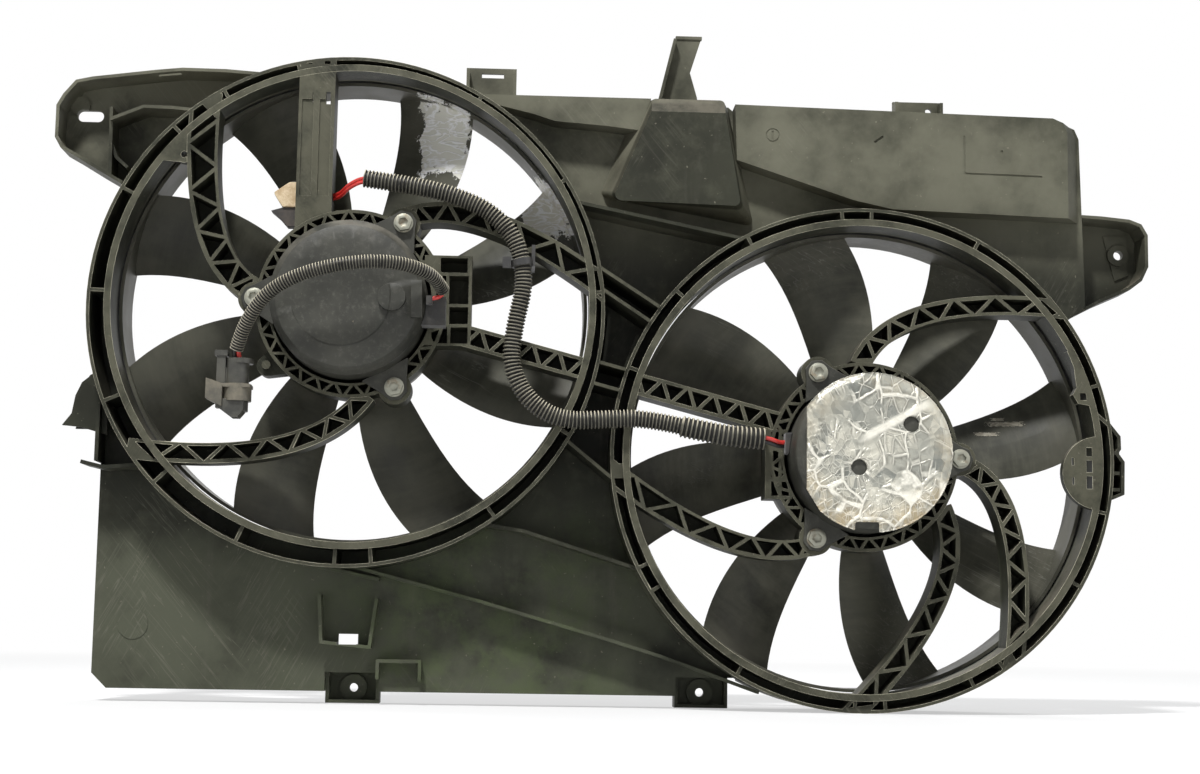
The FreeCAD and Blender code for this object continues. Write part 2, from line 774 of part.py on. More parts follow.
def yoke(side):
    body = new_body(side + "_motor_yoke", side, cell(side + "_bolt_angle"))
    back = cell("yoke_back_y")
    front = cell("yoke_front_y")
    radius = cell("yoke_radius")
    wall = cell("yoke_wall")
    flat = "(" + radius + " - " + cell(side + "_dome_round") + ")"
    seat = cell("bearing_out")
    reach = back + " + " + wall + " + " + cell("bearing_len")
    corners = [
        ("0", back),
        (flat, back),
        (flat + " + (" + radius + " - " + flat + ") * 0.7", back + " + 3"),
        (radius, back + " + 9"),
        (radius, front),
        (radius + " - " + wall, front),
        (radius + " - " + wall, back + " + 10"),
        (flat + " + (" + radius + " - " + flat + ") * 0.7 - 1.6", back + " + 3 + 1.8"),
        (flat + " - 0.8", back + " + " + wall),
        (seat + " + 2", back + " + " + wall),
        (seat + " + 2", reach),
        (seat, reach),
        (seat, back + " + " + wall),
        ("0", back + " + " + wall),
    ]
    turned(body, side + "_yoke_can", corners)
    level = "-" + cell("rim_y")
    near = radius + " - 1"
    spot = radius + " + " + cell("bolt_reach")
    tip = cell("ear_tip")
    ear = [
        (near, "-" + tip + " * 1.9"),
        (spot, "-" + tip),
        (spot + " + " + tip + " * 0.7", "-" + tip + " * 0.7"),
        (spot + " + " + tip, "0"),
        (spot + " + " + tip + " * 0.7", tip + " * 0.7"),
        (spot, tip),
        (near, tip + " * 1.9"),
    ]
    sketch = outline_sketch(body, side + "_ear_outline", "XZ_Plane", ear, level)
    pad = padded(body, side + "_ear", sketch, cell("ear_thick"))
    patterned(body, side + "_ears", pad, sketch, 3)
    hole_level = "-" + cell("rim_y") + " + " + cell("ear_thick")
    hole = round_sketch(body, side + "_ear_hole", [(cell("screw_radius") + " + " + cell("running_gap"), spot, "0")],
                        hole_level)
    pocket = pocketed(body, side + "_ear_pocket", hole, cell("ear_thick"))
    patterned(body, side + "_ear_pockets", pocket, hole, 3)
    if side == LEFT:
        boss_level = "-" + back + " - 1"
        boss = round_sketch(body, "cap_boss_circle", [("9", "14.1", "-25.4")], boss_level)
        padded(body, "cap_boss", boss, cell("mating_y") + " + " + back + " + 1")
        slope = radius + " / 51"
        tab = [(across + " * " + slope, up + " * " + slope)
               for across, up in (("30", "-29.9"), ("9.8", "-43.1"), ("13.7", "-49.1"), ("33.9", "-35.9"))]
        terminal = outline_sketch(body, "terminal_outline", "XZ_Plane", tab, "-" + back + " - 12")
        padded(body, "terminal_tab", terminal, "15")


def end_cover(side):
    body = new_body(side + "_motor_end_cover", side)
    front = cell("yoke_front_y")
    thick = cell("cover_thick")
    seat = cell("bearing_out")
    lip = seat + " + 2"
    deep = front + " + " + thick + " - " + cell("bearing_len") + " - 0.6"
    shaft_way = cell("shaft_radius") + " + 1.5"
    corners = [
        (shaft_way, front + " + " + thick),
        (cell("yoke_radius"), front + " + " + thick),
        (cell("yoke_radius"), front),
        (lip, front),
        (lip, deep),
        (seat, deep),
        (seat, front + " + " + thick + " - 0.6"),
        (shaft_way, front + " + " + thick + " - 0.6"),
    ]
    turned(body, side + "_cover_turned", corners)


def bearing(side, end):
    body = new_body(side + "_" + end + "_bearing", side)
    if end == "rear":
        low = cell("yoke_back_y") + " + " + cell("yoke_wall")
    else:
        low = cell("yoke_front_y") + " + " + cell("cover_thick") + " - 0.6 - " + cell("bearing_len")
    high = low + " + " + cell("bearing_len")
    inner = cell("shaft_radius") + " + " + cell("running_gap")
    outer = cell("bearing_out")
    corners = [
        (inner, low),
        (outer + " - 0.6", low),
        (outer, low + " + 0.6"),
        (outer, high + " - 0.6"),
        (outer + " - 0.6", high),
        (inner, high),
    ]
    turned(body, side + "_" + end + "_race", corners)


def shaft(side):
    body = new_body(side + "_rotor_shaft", side)
    radius = cell("shaft_radius")
    low = cell("yoke_back_y") + " + " + cell("yoke_wall") + " + 0.5"
    high = cell("shaft_front_y")
    corners = [
        ("0", low),
        (radius + " - 0.8", low),
        (radius, low + " + 0.8"),
        (radius, high + " - 1"),
        (radius + " - 1", high),
        ("0", high),
    ]
    turned(body, side + "_shaft_turned", corners)


def core_radius():
    """The armature runs inside the magnets with the air gap between them."""
    return size("yoke_radius") - size("yoke_wall") - size("glue_gap") - size("magnet_thick") - size("air_gap")


def core_cell():
    """The same radius, as an expression."""
    parts = [cell(name) for name in ("yoke_radius", "yoke_wall", "glue_gap", "magnet_thick", "air_gap")]
    return "(" + " - ".join(parts) + ")"


def armature_core(side):
    body = new_body(side + "_armature_core", side)
    rim = core_cell()
    level = "-" + cell("core_front_y")
    rings = round_sketch(body, side + "_core_rings", [(rim, "0", "0"), (cell("shaft_radius"), "0", "0")], level)
    stack = cell("core_front_y") + " - " + cell("core_back_y")
    padded(body, side + "_core_stack", rings, stack)
    doc.recompute()
    slot = [
        (cell("turns_in") + " + 2", "-3"),
        (rim + " - 4", "-4.6"),
        (rim + " - 2", "-1.2"),
        (rim + " + 1", "-1.2"),
        (rim + " + 1", "1.2"),
        (rim + " - 2", "1.2"),
        (rim + " - 4", "4.6"),
        (cell("turns_in") + " + 2", "3"),
    ]
    outline = outline_sketch(body, side + "_slot_outline", "XZ_Plane", slot, "-" + cell("core_back_y"))
    pocket = pocketed(body, side + "_slot", outline, stack)
    patterned(body, side + "_slots", pocket, outline, 12)


def windings(side):
    """End turns of the armature winding, one ring at each end of the core."""
    centre = axis(side)
    inner = size("turns_in")
    outer = core_radius() - size("turns_inset")
    back = size("core_back_y")
    front = size("core_front_y")
    rings = []
    for low, high in ((back - size("turns_back"), back), (front, front + size("turns_front"))):
        ring = tube(outer, inner, low, high, centre)
        far = low if low < back else high
        rims = [e for e in ring.Edges if abs(e.BoundBox.YMin - far) < 0.01 and abs(e.BoundBox.YMax - far) < 0.01]
        rings.append(ring.makeFillet(2.0, [e for e in rims if len(e.Vertexes) == 1]))
    keep_shape(side + "_armature_windings", Part.makeCompound(rings))


def commutator(side):
    body = new_body(side + "_commutator", side)
    level = "-" + cell("commutator_front_y")
    rings = [(cell("commutator_radius"), "0", "0"), (cell("shaft_radius"), "0", "0")]
    sketch = round_sketch(body, side + "_bar_rings", rings, level)
    length = cell("commutator_front_y") + " - " + cell("commutator_back_y")
    padded(body, side + "_bars", sketch, length)
    doc.recompute()
    slot = [
        (cell("commutator_radius") + " - 1.5", "-0.4"),
        (cell("commutator_radius") + " + 1", "-0.4"),
        (cell("commutator_radius") + " + 1", "0.4"),
        (cell("commutator_radius") + " - 1.5", "0.4"),
    ]
    outline = outline_sketch(body, side + "_bar_slit", "XZ_Plane", slot, "-" + cell("commutator_back_y"))
    pocket = pocketed(body, side + "_slit", outline, length)
    patterned(body, side + "_slits", pocket, outline, 12)


def magnets(side):
    """Four curved magnets, glued inside the yoke."""
    centre = axis(side)
    outer = size("yoke_radius") - size("yoke_wall") - size("glue_gap")
    back = size("core_back_y") - 2.0
    front = size("core_front_y") + 2.0
    ring = tube(outer, outer - size("magnet_thick"), back, front, centre)
    half = size("magnet_slit") / 2
    reach = outer + 1
    x, z = centre
    slits = [
        block(x - reach, x + reach, back - 1, front + 1, z - half, z + half),
        block(x - half, x + half, back - 1, front + 1, z - reach, z + reach),
    ]
    keep_shape(side + "_motor_magnets", ring.cut(slits))


def brush_card(side):
    """Insulating plate behind the end cover that carries the two brush boxes."""
    x, z = axis(side)
    thick = size("card_thick")
    low = size("card_y")
    outer = size("yoke_radius") - size("yoke_wall") - size("glue_gap")
    inner = size("bearing_out") + 2.0 + size("glue_gap")
    plate = tube(outer, inner, low, low + thick, (x, z))
    stand = tube(outer, outer - 3.0, low, size("yoke_front_y"), (x, z))
    keep_shape(side + "_brush_card", fused([plate, stand]))


def brushes(side):
    """Two carbon brushes that bear on the commutator."""
    x, z = axis(side)
    start = size("commutator_radius") + size("running_gap")
    end = start + size("brush_length")
    half = size("brush_width") / 2
    high = size("card_y")
    low = high - size("brush_height")
    pair = []
    for sign in (1, -1):
        near, far = sorted((x + sign * start, x + sign * end))
        pair.append(block(near, far, low, high, z - half, z + half))
    keep_shape(side + "_brushes", Part.makeCompound(pair))


def ear_screws(side):
    """Three flanged screws through the motor's ears into the basket bosses."""
    centre = axis(side)
    start = size(side + "_bolt_angle")
    top = size("rim_y") - size("ear_thick")
    head = size("screw_head")
    high = size("screw_head_high")
    screws = []
    for i in range(3):
        spot = polar(bolt_circle(), start + i * FULL / 3, *centre)
        shank = disc(size("screw_radius"), top, top + size("screw_length"), spot)
        flange = disc(head * 1.25, top - 1.0, top, spot)
        corners = [polar(head / math.cos(math.pi / 6), k * 60.0 + 12.0, *spot) for k in range(6)]
        hexagon = slab(corners, top - high, top - 1.0)
        screws.append(fused([shank, flange, hexagon]))
    keep_shape(side + "_motor_screws", Part.makeCompound(screws))


def motor(side):
    yoke(side)
    end_cover(side)
    for end in ("rear", "front"):
        bearing(side, end)
    shaft(side)
    armature_core(side)
    windings(side)
    commutator(side)
    magnets(side)
    brush_card(side)
    brushes(side)
    ear_screws(side)


# Fans: hub cup, swept blades and a tip band in one moulding

def blade_section(radius, share):
    """Closed airfoil outline square to the radius; share runs from 0 at the hub to 1 at the band."""
    span = size("blade_root_span") + (size("blade_tip_span") - size("blade_root_span")) * share
    half = radius * math.tan(math.radians(span / 2))
    rise = (size("blade_front_y") - size("blade_back_y")) * (1.0 - 0.12 * share)
    middle = (size("blade_front_y") + size("blade_back_y")) / 2
    thick = size("blade_thick") * (1.0 - 0.25 * share)
    camber = 0.07 * 2 * half
    upper = []
    lower = []
    for step in (-1.0, -0.5, 0.0, 0.5, 1.0):
        across = half * step
        depth = middle + rise / 2 * step - camber * (1 - step * step)
        swell = thick / 2 * (0.45 + 0.55 * (1 - step * step))
        upper.append((across, depth - swell))
        lower.append((across, depth + swell))
    sweep = size("blade_sweep") * share ** 2.2
    out = Vector(*[polar(1.0, sweep)[0], 0, polar(1.0, sweep)[1]])
    tangent = Vector(-out.z, 0, out.x)
    edges = []
    for line in (upper, lower[::-1]):
        points = [out * radius + tangent * across + Vector(0, depth, 0) for across, depth in line]
        curve = Part.BSplineCurve()
        curve.interpolate(points)
        edges.append(curve.toShape())
    ends = [e.Vertexes for e in edges]
    edges.insert(1, Part.makeLine(ends[0][-1].Point, ends[1][0].Point))
    edges.append(Part.makeLine(ends[1][-1].Point, ends[0][0].Point))
    return Part.Wire(edges)


def fan(side):
    band_out = size(side + "_bore") - size("tip_gap")
    band_in = band_out - size("band_wall")
    hub = size("hub_radius")
    wall = size("hub_wall")
    back = size("hub_back_y")
    front = size("hub_front_y")
    band_back = size("band_back_y")
    band_front = size("band_front_y")
    parts = [
        tube(band_out, band_in, band_back, band_front),
        tube(hub, hub - wall, back, front),
        disc(hub, front - wall, front),
        disc(size("sleeve_radius"), back + 2.0, front),
    ]
    bosses = []
    for i in range(int(size("blade_count"))):
        inner, outer = polar(size("sleeve_radius") - 1, i * 45.0), polar(hub - wall / 2, i * 45.0)
        bosses.append(slab(bar_points(inner, outer, 2.0), front - wall - 9.0, front - wall / 2))
    radii = [hub - 6.0, hub + 25.0, hub + 60.0, band_out + 4.0]
    reach = band_out - hub
    sections = [blade_section(r, max(0.0, min(1.0, (r - hub) / reach))) for r in radii]
    blade = Part.makeLoft(sections, True, False)
    blade = blade.common(tube(band_in + size("band_wall") / 2, hub - wall / 2, 0.0, size("mating_y")))
    phase = size(side + "_blade_angle")
    blades = []
    for i in range(int(size("blade_count"))):
        copy = blade.copy()
        copy.rotate(Vector(0, 0, 0), Vector(0, -1, 0), phase + i * FULL / int(size("blade_count")))
        blades.append(copy)
    solid = fused(parts + bosses + blades)
    solid = solid.cut(disc(size("shaft_radius"), 0.0, size("mating_y")))
    keep_shape(side + "_fan", solid, axis(side))


def fan_nut(side):
    """Hexagon nut and washer that hold the fan on its shaft."""
    centre = axis(side)
    front = size("hub_front_y")
    thick = size("washer_thick")
    flats = size("nut_flats") / 2
    corners = [polar(flats / math.cos(math.pi / 6), k * 60.0, *centre) for k in range(6)]
    nut = slab(corners, front + thick, front + thick + size("nut_high"))
    chamfered = Part.makeCone(flats + 3.2, flats + 0.1, size("nut_high"), Vector(centre[0], front + thick, centre[1]),
                              Vector(0, 1, 0))
    nut = nut.common(chamfered)
    washer = disc(size("washer_radius"), front, front + thick, centre)
    solid = fused([washer, nut]).cut(disc(size("shaft_radius"), front - 1, front + 20, centre))
    keep_shape(side + "_fan_nut", solid)


# Shroud: plenum plate with raised duct, bump and ribs, and the skirt round it

def plenum_fields():
    """The straight-sided fields of the plenum's outline; the two barrels complete it."""
    left = size("panel_left")
    low = size("panel_bottom")
    corner = size("panel_corner")
    lx, lz = axis(LEFT)
    rx, rz = axis(RIGHT)
    lower = [
        (left, low + corner),
        (left + corner, low),
        (rx - 84.0, low),
        (rx - 60.0, rz),
        (lx, lz),
        (left, lz - 20.0),
    ]
    duct_right = size("duct_right")
    duct_top = size("duct_top")
    duct_end = duct_top - size("duct_fall")
    upper = [
        (lx + 60.0, size("panel_top")),
        (size("duct_left") - 3.0, size("panel_top")),
        (size("duct_left"), duct_top),
        (duct_right - corner, duct_end),
        (duct_right - corner * 0.3, duct_end - corner * 0.3),
        (duct_right, duct_end - corner),
        (duct_right + 3.0, rz + 110.0),
        (rx, rz),
        (lx + 60.0, lz - 60.0),
        (lx + 30.0, lz),
    ]
    return lower, upper


def plenum(y_low, y_high, gap=0.0):
    """The whole plenum outline as a block; gap moves its sides inwards."""
    shapes = []
    for points in plenum_fields():
        shapes.append(slab(shrunk(points, gap) if gap else points, y_low, y_high))
    for side in (LEFT, RIGHT):
        shapes.append(disc(size(side + "_outer") - gap, y_low, y_high, outer_centre(side)))
    return fused(shapes).cut(tab_notches(y_low - 1, y_high + 1, gap))


def tab_notches(y_low, y_high, gap):
    """Recesses in the lower edge over the two bottom tabs; gap makes them larger."""
    half = size("tab_width") / 2 + gap
    top = size("tab_hole_z") + size("notch_over_hole") + gap
    left = size("left_tab_x")
    right = size("right_tab_x")
    low = -20.0
    return [
        block(left - half, left + half, y_low, y_high, low, top),
        block(right - half, right + half + 8.0, y_low, y_high, low, top),
    ]


def barrel_tools(y_low, y_high):
    """What the two barrels take up, as cylinders."""
    return [disc(size(side + "_outer") + size("seam"), y_low, y_high, outer_centre(side)) for side in (LEFT, RIGHT)]


def duct_outline(slant):
    """The raised duct's outline; its right-hand side leans in by the slant."""
    left = size("duct_left")
    right = size("duct_right") - slant
    top = size("duct_top")
    end = top - size("duct_fall")
    corner = size("panel_corner")
    crest = size("right_z") + size("right_outer")
    return [
        (left, top),
        (left + 1.5, top - 39.0),
        (left + 82.0, crest + 10.4),
        (left + 109.0, crest + 4.6),
        (right, crest + 1.2),
        (right, end - corner),
        (right - corner * 0.3, end - corner * 0.3),
        (right - corner, end),
    ]


def raised_duct():
    """Flat raised field at the upper right: outer block and the hollow behind its face."""
    wall = size("panel_wall")
    floor = size("panel_y") + wall
    base = duct_outline(0.0)
    crown = duct_outline(size("duct_slant"))
    outer = lofted_block(base, crown, floor, size("duct_y"))
    inner = lofted_block(shrunk(base, wall), shrunk(crown, wall), floor + 0.5, size("duct_y") + wall)
    return outer, inner


def raised_field():
    """Raised field between the left barrel and the bump: outer block and its hollow."""
    wall = size("panel_wall")
    floor = size("panel_y") + wall
    top = size("panel_top")
    left = size("duct_left")
    points = [
        (left - 190.0, top),
        (left - 190.0, top - 6.0),
        (left - 162.0, top - 7.5),
        (left - 138.0, top - 13.0),
        (left - 124.0, top - 17.5),
        (left - 88.0, top - 20.0),
        (left - 66.0, top - 22.5),
        (left - 58.0, top),
    ]
    outer = slab(points, size("duct_y"), floor)
    inner = slab(shrunk(points, wall), size("duct_y") + wall, floor + 1)
    return outer, inner


def lofted_block(base, crown, y_base, y_crown):
    """Solid between two outlines of the XZ plane with as many corners each."""
    wires = []
    for points, y in ((base, y_base), (crown, y_crown)):
        corners = [Vector(x, y, z) for x, z in points]
        wires.append(Part.makePolygon(corners + corners[:1]))
    return Part.makeLoft(wires, True, True)


def bump_form(gap):
    """Tapered form with a sloped crest, drawn in by the gap for its hollow."""
    floor = size("panel_y") + size("panel_wall")
    left = size("duct_left")
    top = size("panel_top")
    base = [(left - 93.0, top - 65.0), (left + 16.5, top - 85.0), (left - 3.0, top), (left - 67.5, top)]
    crown = [(left - 84.3, top - 73.5), (left + 3.6, top - 75.5), (left - 9.3, top), (left - 53.5, top)]
    y_base = floor
    y_crown = size("duct_y") - 8.0
    if gap:
        base = shrunk(base, gap)
        crown = shrunk(crown, gap)
        y_base = floor + 0.5
        y_crown += gap
    form = lofted_block(base, crown, y_base, y_crown)
    rise = top - gap
    crest = [Vector(left - 120.0, y_crown - 1.0, rise - 12.4), Vector(left - 120.0, y_crown + 8.0, rise),
             Vector(left - 120.0, y_crown + 8.0, rise + 20.0), Vector(left - 120.0, y_crown - 1.0, rise + 20.0)]
    wedge = Part.Face(Part.makePolygon(crest + crest[:1])).extrude(Vector(160.0, 0, 0))
    form = form.cut(wedge)
    if not gap:
        slopes = [e for e in form.Edges if e.BoundBox.YLength > 15.0]
        form = form.makeFillet(4.0, slopes)
    return form


def bump():
    """Tapered housing between the fans: outer form and hollow."""
    return bump_form(0.0), bump_form(size("panel_wall"))


def panel_ribs():
    """Upstanding walls on the rear of the plenum plate."""
    rib = size("rib_wall")
    low = size("rim_y")
    floor = size("panel_y") + 1
    left = outer_centre(LEFT)
    right = outer_centre(RIGHT)
    lr = size("left_outer") - 1
    rr = size("right_outer") - 1
    shapes = []
    # Brow wall from the left barrel over to the right one
    shapes += walls([polar(lr, 26.5, *left), polar(rr, 119.0, *right)], low + 5, floor, rib)
    # The upper right arm and the cross strut carried on across the web between the barrels
    shapes += walls([polar(lr, 10.5, *left), polar(rr, 144.5, *right)], low, floor, rib)
    shapes += walls([polar(lr, 5.5, *left), polar(rr, 148.5, *right)], low, floor, rib)
    start, end = strut_ends()
    tilt = math.atan2(end[1] - start[1], end[0] - start[0])
    half = size("cross_width") / 2
    for sign in (1, -1):
        shift = (-math.sin(tilt) * half * sign, math.cos(tilt) * half * sign)
        a = (start[0] + shift[0], start[1] + shift[1])
        b = (end[0] + shift[0], end[1] + shift[1])
        shapes += walls([a, b], low, floor, rib)
    # Small gussets on the web between the barrels
    gap_x = (left[0] + lr + right[0] - rr) / 2
    shapes += walls([(gap_x + 1.5, 263.0), (gap_x - 2.0, 229.0)], 2.0, floor, rib)
    shapes += walls([(gap_x + 21.0, 250.0), (gap_x + 12.0, 226.0)], 2.0, floor, rib)
    # The lower right arm carried on to the left barrel
    shapes += walls([polar(lr, -30.0, *left), polar(rr, -174.0, *right)], low + 3, floor, rib)
    # Upper wall of the lower field
    shapes += walls([polar(lr, -56.0, *left), (left[0] + 120.0, 116.0), polar(rr, -153.0, *right)], low + 12, floor, rib)
    # Long diagonal step down to the lower right
    shapes += walls([polar(lr, -87.0, *left), (-83.0, 70.0), (3.0, 46.0), (40.0, 35.0), (106.0, 12.0)], 6.0, floor, rib)
    return shapes


def latch_details():
    """Latch pocket, cable channel and hook ribs at the bottom edge."""
    rib = size("rib_wall")
    floor = size("panel_y") + 1
    middle = size("left_tab_x")
    shapes = []
    shapes += walls([(middle - 22.0, 72.0), (middle - 20.0, 41.0), (middle + 12.0, 38.0), (middle + 16.0, 70.0)],
                    8.0, floor, rib)
    shapes += walls([(middle + 17.5, 17.0), (middle + 17.5, 29.0), (middle + 45.5, 29.0), (middle + 45.5, 16.0)],
                    12.0, floor, rib)
    shapes += walls([(middle - 24.0, 91.0), (middle + 17.0, 83.0)], 12.0, floor, rib)
    return shapes


def side_details():
    """Hook, shelf and upright wall at the left edge."""
    wall = size("panel_wall")
    floor = size("panel_y") + wall
    left = size("panel_left")
    hook = [
        (left + 6.0, 222.0),
        (left - 6.0, 216.0),
        (left - 12.0, 211.0),
        (left - 16.0, 202.0),
        (left - 18.0, 190.0),
        (left - 24.0, 182.0),
        (left - 12.0, 181.0),
        (left + 6.0, 176.0),
    ]
    plate = slab(hook, 8.0, 8.0 + wall)
    spine = walls([(left + 5.0, 221.0), (left - 6.0, 215.0), (left - 14.5, 200.0), (left - 17.0, 188.0)], 8.0, floor, wall)
    side = walls([(left + 1.2, 226.0), (left + 1.2, 158.0)], 0.0, floor, wall)
    shelf = walls([(left - 8.0, 157.0), (left + 7.0, 153.5), (left + 30.0, 155.5), (left + 46.0, 158.0)], -4.0, floor, wall)
    back = slab([(left - 18.0, 181.0), (left + 2.0, 181.0), (left + 2.0, 222.0), (left - 10.0, 214.0)], floor - wall, floor)
    return [plate, back] + spine + side + shelf


def shroud_panel():
    wall = size("panel_wall")
    low = size("panel_y")
    plate = plenum(low, low + wall)
    duct_outer, duct_inner = raised_duct()
    field_outer, field_inner = raised_field()
    bump_outer, bump_inner = bump()
    shapes = [plate, duct_outer, field_outer, bump_outer] + panel_ribs() + latch_details() + side_details()
    for x, z, radius in ((left_mark(), 51.0, 10.0), (-61.0, 115.0, 7.5), (-111.0, 84.0, 7.5)):
        shapes.append(disc(radius, low - 0.5, low + 1, (x, z)))
    solid = fused(shapes)
    outside = size("rim_y") - 10
    cuts = barrel_tools(outside, low + wall) + [duct_inner, field_inner, bump_inner]
    middle = size("left_tab_x")
    cuts.append(block(middle - 9.5, middle + 3.5, outside, low + 10, 39.5, 46.5))
    solid = solid.cut(cuts + duct_marks())
    keep_shape("shroud_panel", biggest(solid))


def duct_marks():
    """Shallow marks in the duct's face: a ring with its bar, a slit, a corner line and a point."""
    face = size("duct_y")
    x = size("duct_left")
    z = size("duct_top")
    marks = [tube(4.8, 4.0, face - 1, face + 0.5, (x + 26.0, z - 21.0))]
    marks.append(block(x + 25.4, x + 26.6, face - 1, face + 0.5, z - 24.0, z - 18.0))
    lines = (
        ((x + 96.5, z - 24.2), (x + 102.5, z - 19.8), 1.5, 1.2),
        ((x + 159.0, z - 18.0), (x + 159.0, z - 44.5), 1.2, 0.5),
        ((x + 158.4, z - 44.5), (x + 213.0, z - 45.5), 1.2, 0.7),
    )
    for start, end, width, deep in lines:
        marks.append(slab(bar_points(start, end, width), face - 1, face + deep))
    marks.append(disc(1.0, face - 1, face + 0.6, (x + 185.0, z - 28.5)))
    return marks


def left_mark():
    """The large ejector mark sits a little inside the left edge."""
    return size("panel_left") + 26.0


def top_tabs():
    """Slotted tab at the top left, small tab at the top right and the leaning horn."""
    y = size("ear_y")
    wall = size("ear_wall")
    top = size("panel_top")
    slotted = block(-99.0, -64.0, y, y + wall, top - 2.5, top + 30.0)
    cheeks = [block(x, x + 2.2, y - 12.0, y + wall, top - 2.5, top + 26.5) for x in (-99.0, -66.2)]
    bridge = block(-99.0, -64.0, y - 12.0, y + wall, top - 2.5, top + 0.2)
    slot = block(-88.5, -73.0, y - 1, y + wall + 1, top + 23.0, top + 26.2)
    duct_top = size("duct_top")
    small = block(204.0, 238.0, y, y + wall, duct_top - 6.0, duct_top + 16.0)
    small_cheeks = [block(x, x + 2.2, y - 10.0, y + wall, duct_top - 5.0, duct_top + 13.5) for x in (204.0, 235.8)]
    pin_hole = disc(2.2, y - 1, y + wall + 1, (229.5, duct_top + 9.5))
    horn_top = top + size("horn_high")
    horn = [(36.0, top - 3.0), (37.5, top + 13.0), (48.5, horn_top), (67.0, horn_top), (58.8, top + 30.0), (64.0, top + 12.0),
            (65.0, top - 3.0)]
    blade = slab(horn, y - 2.0, y + 1.0)
    spine = walls([(34.5, top - 3.0), (47.6, horn_top - 4.0)], y - 10.0, y + 1.0, 2.2)
    cap = walls([(48.4, horn_top - 1.1), (67.0, horn_top - 1.1)], y - 3.0, y + 1.0, 2.2)
    return [slotted, bridge, small, blade] + cheeks + small_cheeks + spine + cap, [slot, pin_hole]


def bottom_tabs():
    """Two drilled tabs in the recesses of the lower edge."""
    y = size("ear_y")
    wall = size("ear_wall")
    half = size("tab_width") / 2
    low = 0.5
    hole_z = size("tab_hole_z")
    top = hole_z + size("notch_over_hole") + 2.0
    tabs = []
    for x in (size("left_tab_x"), size("right_tab_x")):
        shapes = [
            block(x - half, x + half, y, y + wall, low, top),
            block(x - half, x + half, y - 14.0, y + wall, low, low + 2.2),
            block(x - half, x - half + 2.2, y - 14.0, y + wall, low, top),
            block(x + half - 2.2, x + half, y - 14.0, y + wall, low, top),
            disc(half * 0.5, y - 3.0, y + wall, (x, hole_z)),
        ]
        hole = disc(size("tab_hole"), y - 5, y + wall + 1, (x, hole_z))
        body = plenum(size("rim_y") - 10, size("mating_y") + 10, -size("seam"))
        tabs.append(biggest(fused(shapes).cut([hole, body])))
    keep_shape("bottom_mounting_tabs", Part.makeCompound(tabs))


def clip_block():
    """Side lug of the skirt: a cranked outer wall on a floor, joined to the barrel by three shelves."""
    y = size("panel_y") + size("panel_wall")
    edge = size("right_x") + size("right_outer")
    middle = size("right_z")
    back = size("outer_y") + 1.0
    rim = 2.2
    crank = [(edge - 4.0, middle + 27.0), (edge + 4.0, middle + 17.0), (edge + 4.2, middle + 9.0), (edge + 2.2, middle + 6.0),
             (edge + 6.5, middle), (edge + 6.0, middle - 21.0), (edge - 1.0, middle - 24.0)]
    shapes = [slab(crank + [(edge - 7.6, middle - 24.0), (edge - 7.6, middle + 27.0)], y, y + 2.5)]
    shapes += walls(crank, back, y + 2.5, rim)
    for rise in (5.0, -8.5, -19.5):
        shapes.append(block(edge - 3.0, edge + 4.0, back, y + 2.5, middle + rise, middle + rise + rim))
    return shapes


def shroud_skirt():
    low = size("panel_y") + size("panel_wall") + size("seam")
    high = size("mating_y")
    wall = size("skirt_wall")
    outer = plenum(low, high)
    inner = plenum(low - 1, high + 1, wall)
    frame = outer.cut(inner)
    tabs, slots = top_tabs()
    solid = fused([frame] + tabs + clip_block())
    clear = barrel_tools(size("rim_y") - 10, low)
    solid = solid.cut(slots + clear)
    keep_shape("shroud_skirt", biggest(solid))


